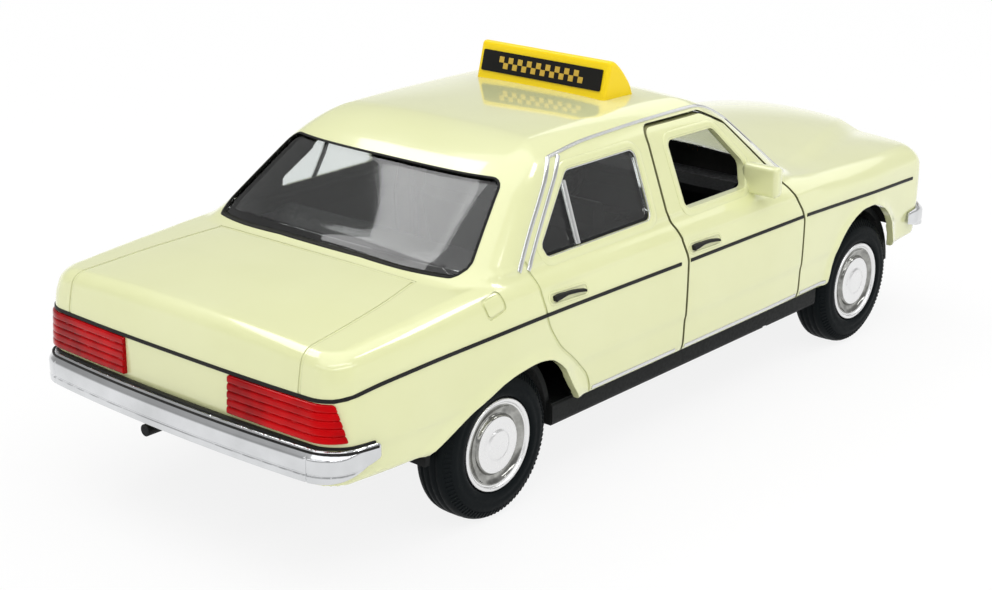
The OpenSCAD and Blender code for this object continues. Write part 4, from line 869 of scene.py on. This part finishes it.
def make_body():
    whole = body_level("body_skin", body_field, FINE_STEP, finish_name="ivory")
    # The core gives the inner faces of the shell its painted shade
    core = body_level("core", body_core, COARSE_STEP, WALL, "lining")
    groove_guide = body_level("groove_guide", body_core, MIDDLE_STEP, GROOVE_DEPTH)
    lid_guide = body_level("lid_guide", body_core, MIDDLE_STEP, LID_DEPTH)
    panes = make_glass()
    made_doors = {side: make_door(side, sign, whole, core) for side, sign in SIDES}
    carve(whole, core)
    for _, sign in SIDES:
        through, shallow = span(sign, 11, OUTSIDE), span(sign, 17, 25)
        # The cut faces of the door opening take the darkened enamel: painted shade in the gap
        carve(whole, prism(DOOR_OUTLINE, X, *through, finish_name="jamb"))
        carve(whole, prism(OPENINGS["side"], X, *through))
        for arch in (REAR_ARCH, FRONT_ARCH):
            foot = [(arch[-1][0], 4), (arch[0][0], 4)]
            carve(whole, prism(list(smooth_line(arch, 3)) + foot, X, *span(sign, 15.5, OUTSIDE)))
        score(whole, prism(ribbon(smooth_line(REAR_DOOR_LINE), GROOVE), X, *shallow), groove_guide)
        rim = prism(rounded(FLAP, 0.5), X, *shallow)
        carve(rim, prism(rounded(grown(FLAP, -FLAP_GROOVE), 0.4), X, *span(sign, 16, OUTSIDE)))
        score(whole, rim, groove_guide)
        seam = ribbon(smooth_line(LID_LINE) * (sign, 1), LID_SEAM)
        score(whole, prism(seam, Z, 19.9, ABOVE), lid_guide)
    score(whole, prism(ribbon(smooth_line(LID_FRONT), LID_SEAM), Z, 22, ABOVE), lid_guide)
    for _, sign in SIDES:
        recess = rounded(box_outline(sign * 6.85, sign * 14.65, 15.6, 19.3), 0.4)
        carve(whole, prism(recess, Y, -60, -56.05, finish_name="chrome"))
    # The walls of the rear and front window openings take the dark seams finish: painted shade
    carve(whole, prism(OPENINGS["rear"], Y, 5, TAIL_END, finish_name="seam"))
    carve(whole, prism(OPENINGS["screen"], Y, NOSE_END, 5, finish_name="seam"))
    for spare in (groove_guide, lid_guide):
        bpy.data.objects.remove(spare)
    return whole, made_doors, panes


# Strips and small trim
RUB, SILL_STRIP = (0.42, 0.22, "black strip"), (0.42, 0.22, "silver")

# Strips of the left side, which have mirror images: section and finish, the body that carries them, points
STRIPS = (
    ("rub_strip_rear", RUB, "car",
     [(22.6, 3.0, 21.0), (22.6, 12, 21.1), (22.6, 26, 21.2), (22.4, 41, 21.0), (22.0, 50, 20.6),
      (21.5, 53.5, 20.25), (20.6, 55.3, 20.0)]),
    ("lid_trim", (0.4, 0.22, "black strip"), "car",
     [(20.6, 55.3, 20.0), (18.6, 56.3, 19.95), (15, 56.6, 19.95), (8, 56.8, 19.95), (0, 56.8, 19.95)]),
    ("rub_strip_door", RUB, "door", [(22.6, 1.15, 21.0), (22.6, -10, 20.95), (22.5, -22.5, 20.8)]),
    ("rub_strip_front", RUB, "car",
     [(22.5, -23.4, 20.8), (22.2, -32, 20.45), (21.9, -42, 19.95), (21.2, -51.5, 19.4)]),
    ("pillar_strip_a", (0.55, 0.3, "silver"), "car",
     [(15.8, 18.6, 35.0), (17.7, 22.4, 31.6), (19.0, 25.5, 28.9), (20.5, 28.7, 25.9)]),
    ("pillar_strip_b", (0.5, 0.3, "silver"), "car",
     [(15.9, 17.0, 35.0), (17.8, 20.9, 31.6), (19.1, 24.0, 28.8), (20.6, 27.3, 25.75)]),
    ("gutter", (0.42, 0.34, "silver"), "car",
     [(15.8, 18.6, 35.1), (15.4, 11.6, 35.72), (15.3, 1.5, 35.95), (15.2, -7, 35.9), (15.0, -11.6, 35.2),
      (15.3, -15.0, 32.9), (16.6, -19.0, 29.4), (18.6, -23.3, 25.7)]),
    ("sill_line_rear", SILL_STRIP, "car", [(22, 3.0, 10.7), (22, 18.2, 10.7)]),
    ("sill_line_door", SILL_STRIP, "door", [(22, 1.15, 10.7), (22, -22.4, 10.7)]),
    ("sill_line_front", SILL_STRIP, "car", [(22, -23.4, 10.7), (22, -29.4, 10.7)]))


def close_set(outline, step=0.8):
    """A closed outline with points added along its long runs."""
    line = []
    for a, b in zip(outline, np.roll(outline, -1, axis=0)):
        count = int(np.ceil(np.hypot(*(b - a)) / step))
        line += [a + (b - a) * k / count for k in range(count)]
    return np.array(line)


def surface_line(outline, axis, start):
    """Points of an outline in side or end view, moved along the view onto the body."""
    o = np.asarray(outline, float)
    p = np.zeros((len(o), 3))
    p[:, [k for k in range(3) if k != axis]] = o
    p[:, axis] = start
    for _ in range(25):
        p[:, axis] -= 0.6 * np.sign(start) * body_field(*p.T)
    return p


def make_strips():
    for name, section, carrier, line in STRIPS:
        for side, points in both(line):
            trim(f"{name}_{side}", points, *section, body=f"{side}_door" if carrier == "door" else carrier)


def make_window_trim():
    """Seals, lips and bars of the windows, a dark strip of painted shade in each door jamb, and the sills
    beside the doors.
    """
    for key, start, name in (("rear", 38, "backlight_seal"), ("screen", -28, "screen_seal")):
        line = surface_line(close_set(grown(OPENINGS[key], 0.02)), Y, start)
        trim(name, line, 0.3, 0.14, "black strip", closed=True, per=1)
    behind_door = [q for q in DOOR_OUTLINE if q[0] > -9 and q[1] > 9 and (q[0] > 1 or q[1] > 30)]
    for side, sign in SIDES:
        line = surface_line(close_set(OPENINGS["side"]), X, sign * 21)
        trim(f"side_seal_{side}", line, 0.24, 0.16, "silver", closed=True, per=1, lift=-0.12)
        for key, body in (("side", "car"), ("door", f"{side}_door")):
            line = surface_line(close_set(grown(OPENINGS[key], 0.55)), X, sign * 21)
            trim(f"{key}_window_lip_{side}", line, 0.85, 0.4, "ivory", body, closed=True, per=1, lift=-0.14)
        bar = [(sign * 19, 17.7, 33.6), (sign * 19.5, 18.1, 29.6), (sign * 20, 18.4, 26.4)]
        trim(f"window_bar_{side}", bar, 0.75, 0.4, "silver", lift=-0.3)
        # Painted shade: a dark strip sunk in the jamb behind the door, where the opening lies in shade
        jamb = surface_line([(1.7, 10.8), *behind_door], X, sign * 20)
        trim(f"door_jamb_{side}", jamb, 2.2, 0.3, "seam", lift=-1.25, per=1)
        section = rounded(box_outline(sign * 19, sign * 20.75, 7.45, 9.8), 0.3)
        place(smooth(prism(section, Y, -29.4, 23.2, f"sill_{side}", "pan")), "car", "base")


def make_bumper_lines():
    """Black strip sunk in the gap over the rear bumper as painted shade, and a line on its shelf."""
    # The gap strip is painted shade: black where the gap between bumper and body lies in shade
    for label, z, lift, height in (("gap", 15.3, -0.15, 0.6), ("line", 14.95, 0.55, 0.16)):
        reach = [(22.1, 51.2, z - 0.36), (22.0, 52.6, z - 0.27), (21.2, 54.6, z - 0.1), (19.8, 55.9, z),
                 (16, 56.3, z), (8, 56.7, z), (0, 56.8, z)]
        for side, line in both(reach):
            trim(f"bumper_{label}_{side}", line, 0.26, height, "black strip", field=bumper_back, lift=lift)


# Bumpers and lamps
BUMPER_Z, BUMPER_TOP, BUMPER_BOTTOM, BUMPER_THICK, BUMPER_BOW = 14.5, 15.4, 11.95, 1.05, 0.55
BUMPER_END, BUMPER_CORNER_RUN = 50.6, 6.3
TAIL_LAMP_Z, TAIL_LAMP_HALF, TAIL_LAMP_TOP, TAIL_LAMP_IN, TAIL_LAMP_END = 17.77, 1.96, 19.7, 7.75, 55.55
TAIL_RIB_FROM, TAIL_RIB = 15.82, 0.78
LAMP_Z, LENS_OUT, FLUTE, INDICATOR_RIB = 17.45, 0.3, 0.82, 0.6
HEADLAMP_X, HEADLAMP_HALF, INDICATOR_IN, INDICATOR_OUT = 10.75, 3.86, 15.35, 19.8
BULB_Y, BULB_R, REFLECTOR_Y, REFLECTOR_R = -56.05, 0.45, -56.1, 1.45
LAMP_HEIGHTS, LENS_STEP, BRIGHT_STEP = (15.2, 19.7), 0.13, 0.14
GRILLE_Z, GRILLE_HALF = 18.3, 6.2


def boxy(x, y, z, low, high, r):
    """Distance from a block with rounded edges."""
    q = [np.abs(v - (a + b) / 2) - (b - a) / 2 + r for v, a, b in zip((x, y, z), low, high)]
    out = np.sqrt(sum(np.maximum(v, 0) ** 2 for v in q))
    return out + np.minimum(np.maximum(np.maximum(q[0], q[1]), q[2]), 0) - r


def bumper_back(x, y, z):
    """The line of the bumpers as seen from above, bowed a little more than the body's."""
    return girth(x, y, BUMPER_Z + 0 * z) - BUMPER_BOW * np.maximum(1 - (x / HALF) ** 2, 0)


def bumper_field(x, y, z):
    """Bar with a sloping shelf on top, thinner and shallower where it runs along the flanks."""
    wide, end = np.abs(x), np.abs(y)
    out = bumper_back(x, y, z)
    run = np.clip(1 - (TAIL - end) / BUMPER_CORNER_RUN, 0, 1)
    lying = 0.10 * np.exp(-((z - 12.85) / 0.13) ** 2)
    standing = 0.12 * np.exp(-((wide - 18.9) / 0.12) ** 2) * (end > 54.5)
    depth = BUMPER_THICK * curve(run, [(0, 0.42), (0.5, 0.6), (0.85, 0.95), (1, 1)])
    face = out - depth + (lying + standing)
    shelf = (z - BUMPER_TOP + 0.4 * (1 - run) + 0.95 * np.maximum(out, -0.5)) / 1.38
    under = BUMPER_BOTTOM + 1.35 * (1 - run) ** 1.3 - z
    bar = meet(meet(face, shelf, 0.16), under, 0.3)
    return meet(meet(bar, 0.12 - out, 0.14), BUMPER_END - end, 0.4)


def tail_lamp_field(x, y, z):
    """Lens with five lying ribs, standing proud of the tail panel, its outer end cut at a slant."""
    out = girth(x, y, 18 + 0 * z)
    rib = ((z - TAIL_RIB_FROM) / TAIL_RIB) % 1
    face = out - 0.1 - 0.2 * (1 - np.abs(2 * rib - 1) ** 5) - 0.06 * (TAIL_LAMP_TOP - z)
    lens = meet(meet(face, -0.7 - out, 0.05), np.abs(z - TAIL_LAMP_Z) - TAIL_LAMP_HALF, 0.12)
    slant = (TAIL_LAMP_END - 0.22 * (TAIL_LAMP_TOP - z) - y) / 1.02
    return meet(meet(lens, TAIL_LAMP_IN - np.abs(x), 0.12), slant, 0.12)


def girth_at_lamps(x, y, z):
    """The outline at the height of the front lamps, upright all the way."""
    return girth(x, y, 17 + 0 * z)


def headlamp_field(x, y, z):
    """Upright lens with standing flutes."""
    out = girth_at_lamps(x, y, z)
    flute = 0.06 * np.cos(2 * np.pi * np.abs(x) / FLUTE)
    lens = meet(meet(out - LENS_OUT - flute, -0.02 - out, 0.05), np.abs(z - LAMP_Z) - 1.83, 0.2)
    return meet(lens, np.abs(np.abs(x) - HEADLAMP_X) - HEADLAMP_HALF, 0.25)


def bulb_field(x, y, z):
    """Round reflector ring with a small bulb in its middle."""
    r = np.hypot(x, z - LAMP_Z)
    ring = np.hypot(r - REFLECTOR_R, y - REFLECTOR_Y) - 0.16
    bulb = np.sqrt(r ** 2 + (y - BULB_Y) ** 2) - BULB_R
    return np.minimum(ring, bulb)


def indicator_field(x, y, z):
    """Lens round the front corner with lying ribs."""
    out = girth_at_lamps(x, y, z)
    rib = 0.05 * np.cos(2 * np.pi * z / INDICATOR_RIB)
    lens = meet(meet(out - LENS_OUT - rib, -0.9 - out, 0.05), np.abs(z - LAMP_Z) - 1.9, 0.2)
    return meet(meet(lens, INDICATOR_IN - np.abs(x), 0.15), np.abs(x) - INDICATOR_OUT, 0.15)


def grille_field(x, y, z):
    """Plated surround of the radiator with a crowned top."""
    crown = 0.3 * (1 - (x / GRILLE_HALF) ** 2) * np.clip((z - 17) / 3, 0, 1)
    outer = boxy(x, y, z - crown, (-GRILLE_HALF, -58.35, 15.5), (GRILLE_HALF, -56.0, 21.1), 0.45)
    hole = boxy(x, y, z - crown, (-5.45, -60, 16.15), (5.45, -57.2, 20.45), 0.2)
    return np.maximum(outer, -hole)


def make_lamps(side, sign):
    cast(f"tail_lamp_{side}_lens", tail_lamp_field, (span(sign, 7.5, 22.6), (53.5, 58.3), (15.5, 20.0)), 0.12,
         "red", "car", "lamp_red", f"tail_lamp_{side}")
    cast(f"headlamp_{side}_lens", headlamp_field, (span(sign, 6.5, 17.6), (-58.2, -55.4), LAMP_HEIGHTS),
         LENS_STEP, "lens", "car", "lamp_clear", f"headlamp_{side}")
    cast(f"indicator_{side}_lens", indicator_field, (span(sign, 15.1, 22.6), (-58.0, -52.5), LAMP_HEIGHTS),
         LENS_STEP, "orange", "car", "lamp_orange", f"indicator_{side}")
    middle = sign * HEADLAMP_X
    cast(f"headlamp_{side}_bulb", lambda x, y, z: bulb_field(x - middle, y, z),
         ((middle - 1.8, middle + 1.8), (-56.6, -55.9), (15.8, 19.1)), 0.1, "satin", "car", "chrome")
    rim = rounded(box_outline(sign * 6.75, sign * 14.75, 15.5, 19.4), 0.5)
    trim(f"headlamp_{side}_rim", surface_line(rim, Y, -56.7), 0.4, 0.5, "chrome", closed=True, per=1,
         field=girth_at_lamps)


def make_grille():
    cast("grille_surround", grille_field, ((-7, 7), (-58.8, -55.6), (15.0, 21.8)), BRIGHT_STEP, "chrome",
         "car", "chrome", "grille")
    slats = pattern("grille_slats", ROW, "chrome", moved(0, -57.65, GRILLE_Z) @ UPRIGHT,
                    dict(Span_X=0.0, Span_Y=3.7, Block_X=10.9, Block_Y=0.2, Block_Z=0.7),
                    Columns=1, Rows=9, Every=1)
    place(slats, "car", "chrome")
    bars = pattern("grille_uprights", ROW, "chrome", moved(0, -57.45, GRILLE_Z) @ UPRIGHT,
                   dict(Span_X=9.4, Span_Y=0.0, Block_X=0.16, Block_Y=4.3, Block_Z=0.5),
                   Columns=9, Rows=1, Every=1)
    place(bars, "car", "chrome")
    # Dark sheet behind the slats in the seams finish: painted shade behind the grille
    place(prism(box_outline(-5.5, 5.5, 16.1, 20.7), Y, -57.3, -57.1, "grille_back", "seam"), "car", "base")


def make_ends():
    for end, along in (("rear", (50, 59)), ("front", (-59, -50))):
        cast(f"{end}_bumper_bar", bumper_field, ((-23, 23), along, (11.6, 15.9)), BRIGHT_STEP, "chrome",
             "car", "chrome", f"{end}_bumper")
    for side, sign in SIDES:
        make_lamps(side, sign)
    make_grille()


# Wheels: sections of places along X and radii
TYRE = [(20.95, 5.12), (21.2, 5.35), (21.28, 5.8), (21.2, 6.3), (21.24, 6.5), (21.1, 7.1), (20.92, 7.45),
        (20.55, 7.95), (20.2, 8.16), (19.8, 8.22), (19.72, 8.06), (19.5, 8.06), (19.42, 8.24), (18.95, 8.25),
        (18.88, 8.08), (18.7, 8.08), (18.62, 8.25), (18.15, 8.24), (18.08, 8.06), (17.88, 8.06), (17.8, 8.22),
        (17.4, 8.16), (17.0, 7.9), (16.6, 7.4), (16.4, 6.6), (16.42, 5.7), (16.7, 5.12)]
DISC = [(16.9, 5.05), (20.9, 5.05), (21.16, 4.98), (21.22, 4.8), (21.12, 4.6), (20.95, 4.52), (20.9, 4.42),
        (20.98, 4.3), (20.78, 4.05), (20.6, 3.7), (20.56, 3.45), (20.68, 3.25), (20.95, 3.15), (21.06, 3.0),
        (21.08, 2.6), (21.04, 1.75), (21.1, 1.66), (21.22, 1.58), (21.25, 1.4), (21.27, 0.0)]
DISH_IN, DISH_OUT = 3.05, 4.35
RIB_X, RIB_LEAN = 20.84, 0.57


def turned(name, section, sign, axle, finish_name, steps=72, closed=False):
    """A section turned round an axle."""
    c = np.array(section, float)
    n = len(c)
    a = np.arange(steps) * 2 * math.pi / steps
    p = np.zeros((steps, n, 3))
    p[..., 0] = sign * c[:, 0]
    p[..., 1] = axle + c[:, 1] * np.cos(a)[:, None]
    p[..., 2] = AXLE_Z + c[:, 1] * np.sin(a)[:, None]
    faces = [[i * n + j, i * n + (j + 1) % n, ((i + 1) % steps) * n + (j + 1) % n, ((i + 1) % steps) * n + j]
             for i in range(steps) for j in range(n if closed else n - 1)]
    return smooth(tidy_faces(new_piece(name, p.reshape(-1, 3), faces, finish_name), merge=1e-6), 50)


def make_wheel(end, axle, side, sign):
    body = f"{end}_wheels"
    tyre = turned(f"{end}_tyre_{side}_ring", smooth_line(TYRE, 2), sign, axle, "rubber", closed=True)
    place(tyre, body, "tyre", f"{end}_tyre_{side}")
    ribs = pattern(f"{end}_tyre_{side}_ribs", RING, "rubber", moved(sign * RIB_X, axle, AXLE_Z),
                   dict(Radius=7.53, Length=0.8, Breadth=0.22, Depth=0.16), Count=90, Lean=sign * RIB_LEAN)
    place(ribs, body, "tyre")
    disc = turned(f"{end}_disc_{side}", smooth_line(DISC, 3), sign, axle, "satin")
    disc.data.materials.append(FINISH["dish"])
    for face in disc.data.polygons:
        r = math.hypot(face.center.y / MM - axle, face.center.z / MM - AXLE_Z)
        face.material_index = 1 if DISH_IN < r < DISH_OUT else 0
    place(disc, body, "rim", f"{end}_rim_{side}")


# Roof sign
SIGN_CREST = [(-5.2, 36.2), (-4.55, 37.3), (-4.1, 38.35), (-3.2, 39.55), (-2.1, 40.7), (-1.1, 41.33),
              (-0.5, 41.44), (0.6, 41.42), (2, 41.4)]
SIGN_LEAN = math.radians(14.7)
SIGN_REAR, SIGN_SLOPE, SIGN_HALF, SIGN_FOOT = 0.9, 0.262, 9.63, 36.6


def sign_field(x, y, z):
    """Wedge with a leaning rear face, a rounded crest and a curved front."""
    rear = (y - SIGN_REAR + SIGN_SLOPE * (z - ROOF)) / 1.034
    crest = (z - curve(y, SIGN_CREST)) / 1.35
    wedge = meet(rear, crest, 0.3)
    return meet(meet(wedge, np.abs(x) - SIGN_HALF, 0.5), SIGN_FOOT - z, 0.1)


def make_sign():
    cast("roof_sign_block", sign_field, ((-10, 10), (-5.2, 1.6), (36.3, 41.8)), 0.16, "yellow", "car",
         "sign_yellow", "roof_sign")
    lean = moved(0, 0.43, 39.22) @ Matrix.Rotation(SIGN_LEAN, 4, "X")
    outline = rounded(box_outline(-8.9, 8.9, -1.2, 1.3), 0.18)
    panel = prism(outline, Y, -0.1, 0.12, "sign_panel_face", "sign black")
    panel.data.transform(lean)
    place(panel, "car", "sign_black", "sign_panel")
    checks = pattern("sign_checks", ROW, "sign print", lean @ moved(0, 0.13, 0.05) @ UPRIGHT,
                     dict(Span_X=11.9, Span_Y=0.7, Block_X=0.7, Block_Y=0.7, Block_Z=0.06),
                     Columns=18, Rows=2, Every=2)
    place(checks, "car", "sign_yellow")


# Screw posts and the lip in front of the base pan
SCREW_FROM_AXLE, POST_R, POST_TAPER, POST_Z, POST_HALF = 11, 2.0, 0.03, 15.0, 4.9


def post_field(along):
    """Tapered post with a web to each side."""
    def post(x, y, z):
        stem = np.hypot(x, y - along) - POST_R - POST_TAPER * (z - 10)
        web = boxy(x, y, z, (-4.5, along - 0.5, 13), (4.5, along + 0.5, 24), 0.3)
        web = web + 0.35 * np.maximum(17 - z, 0)
        return meet(join(stem, web, 0.6), np.abs(z - POST_Z) - POST_HALF, 0.25)

    return post


def make_screw_posts():
    for label, along in (("front", FRONT_AXLE - SCREW_FROM_AXLE), ("rear", REAR_AXLE + SCREW_FROM_AXLE)):
        box = ((-5.2, 5.2), (along - 3.2, along + 3.2), (9.6, 20.4))
        # The posts take the darkened enamel: painted shade inside the body
        cast(f"screw_post_{label}", post_field(along), box, 0.3, "jamb", "car", "paint")
    lip = prism(rounded(box_outline(-16, 16, 8.75, 9.8), 0.25), Y, -50.95, -50.42, "pan_lip", "pan")
    place(smooth(lip), "car", "base")


# Door mirrors, handles and door cards
MIRROR_FAR = 24.25
HANDLES = (("front", (-4.35, 22.15), (0.75, 22.3)), ("rear", (20.2, 22.35), (25.3, 22.6)))
SURROUND, SURROUND_TOP = 0.55, 0.6
CARD = [(-15.5, 12), (0.6, 12), (0.6, 19.8), (1.6, 24.8), (-16.6, 24.8), (-15.5, 19)]


def mirror_field(sign, low, high):
    """Housing that tapers forwards, on a foot that reaches into the door."""
    def housing(x, y, z):
        out = sign * x
        taper = 0.35 * np.maximum(-14.2 - y, 0)
        near, far = (19.4, low[1] + 0.05, low[2] - 0.5), (MIRROR_FAR, high[1] - 0.05, high[2] - 0.05)
        case = boxy(out, y, z, near, far, 0.55) + taper
        foot = boxy(out, y, z, (18.4, low[1] + 0.2, low[2] + 0.6), (20.6, high[1] - 0.5, high[2] - 0.7), 0.35)
        return join(case, foot, 0.4)

    return housing


def grip_field(y0, z0, y1, z1):
    """Bowed bar on the door's skin, thicker towards its rear end."""
    slope = (z1 - z0) / (y1 - y0)

    def grip(x, y, z):
        out = body_field(x, y, z)
        along = (y - y0) / (y1 - y0)
        up = z - z0 - slope * (y - y0) - 0.22 * (1 - (2 * along - 1) ** 2)
        thick = 0.15 + 0.12 * np.clip((along - 0.6) / 0.25, 0, 1)
        block = (np.abs(up) - thick + 0.1, np.abs(along - 0.5) * (y1 - y0) - (y1 - y0) / 2 + 0.1,
                 np.abs(out - 0.2) - 0.17)
        return np.sqrt(sum(np.maximum(v, 0) ** 2 for v in block)) - 0.1

    return grip


def make_door_fittings(side, sign):
    door_body = f"{side}_door"
    low, high = (np.array(c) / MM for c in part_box(f"door_mirror_{side}"))
    box = (span(sign, 18, 24.6), (low[1] - 0.5, high[1] + 0.5), (low[2] - 1.0, high[2] + 0.5))
    cast(f"door_mirror_{side}_housing", mirror_field(sign, low, high), box, 0.15, "ivory", door_body, "paint",
         f"door_mirror_{side}")
    for label, (y0, z0), (y1, z1) in HANDLES:
        body = door_body if label == "front" else "car"
        box = (span(sign, 21, 23.6), (y0 - 0.8, y1 + 0.8), (z0 - 1, z1 + 1))
        cast(f"handle_{label}_{side}", grip_field(y0, z0, y1, z1), box, 0.1, "black strip", body, "base")
        ring = rounded([(y0 - SURROUND, z0 - SURROUND), (y1 + SURROUND, z1 - SURROUND),
                        (y1 + SURROUND, z1 + SURROUND_TOP), (y0 - SURROUND, z0 + SURROUND_TOP)], 0.6)
        trim(f"handle_{label}_{side}_surround", surface_line(ring, X, sign * 22.4), 0.3, 0.14, "ivory", body,
             closed=True, per=1)
    card = prism(rounded(CARD, 0.8), X, *span(sign, 19.6, 20.3), f"door_card_{side}", "seat")
    carve(card, prism(rounded(box_outline(-12, -3, 14, 16.6), 0.6), X, *span(sign, 19, 19.9)))
    place(smooth(card), door_body, "interior")


# The whole car
make_camera()
make_stage()
shell, doors, glass = make_body()
true_normals(shell, body_field)
place(shell, "car", "paint", "body_shell")
smooth(glass, 30)
place(glass, "car", "clear", "glazing")
for side, door in doors.items():
    true_normals(door, body_field)
    place(door, f"{side}_door", "paint", f"front_door_{side}")
make_strips()
make_window_trim()
make_bumper_lines()
make_ends()
for end, axle in (("front", FRONT_AXLE), ("rear", REAR_AXLE)):
    for side, sign in SIDES:
        make_wheel(end, axle, side, sign)
make_sign()
make_screw_posts()
for side, sign in SIDES:
    make_door_fittings(side, sign)

# Finishes of the CAD's own solids
CARRIED = {"base": "pan", "interior": "seat", "chrome": "chrome", "rim": "satin", "lamp_clear": "lens",
           "lamp_orange": "orange", "lamp_red": "red", "sign_yellow": "yellow", "sign_black": "sign black",
           "tyre": "rubber", "steel": "steel", "gear": "gear", "clear": "glass", "paint": "ivory"}
slot_of = {part["node"]: part["material_slot"] for part in frame["record"]["subparts"]}
for name, piece in frame["nodes"].items():
    for slot in piece.material_slots:
        slot.material = FINISH[CARRIED[slot_of[name]]]
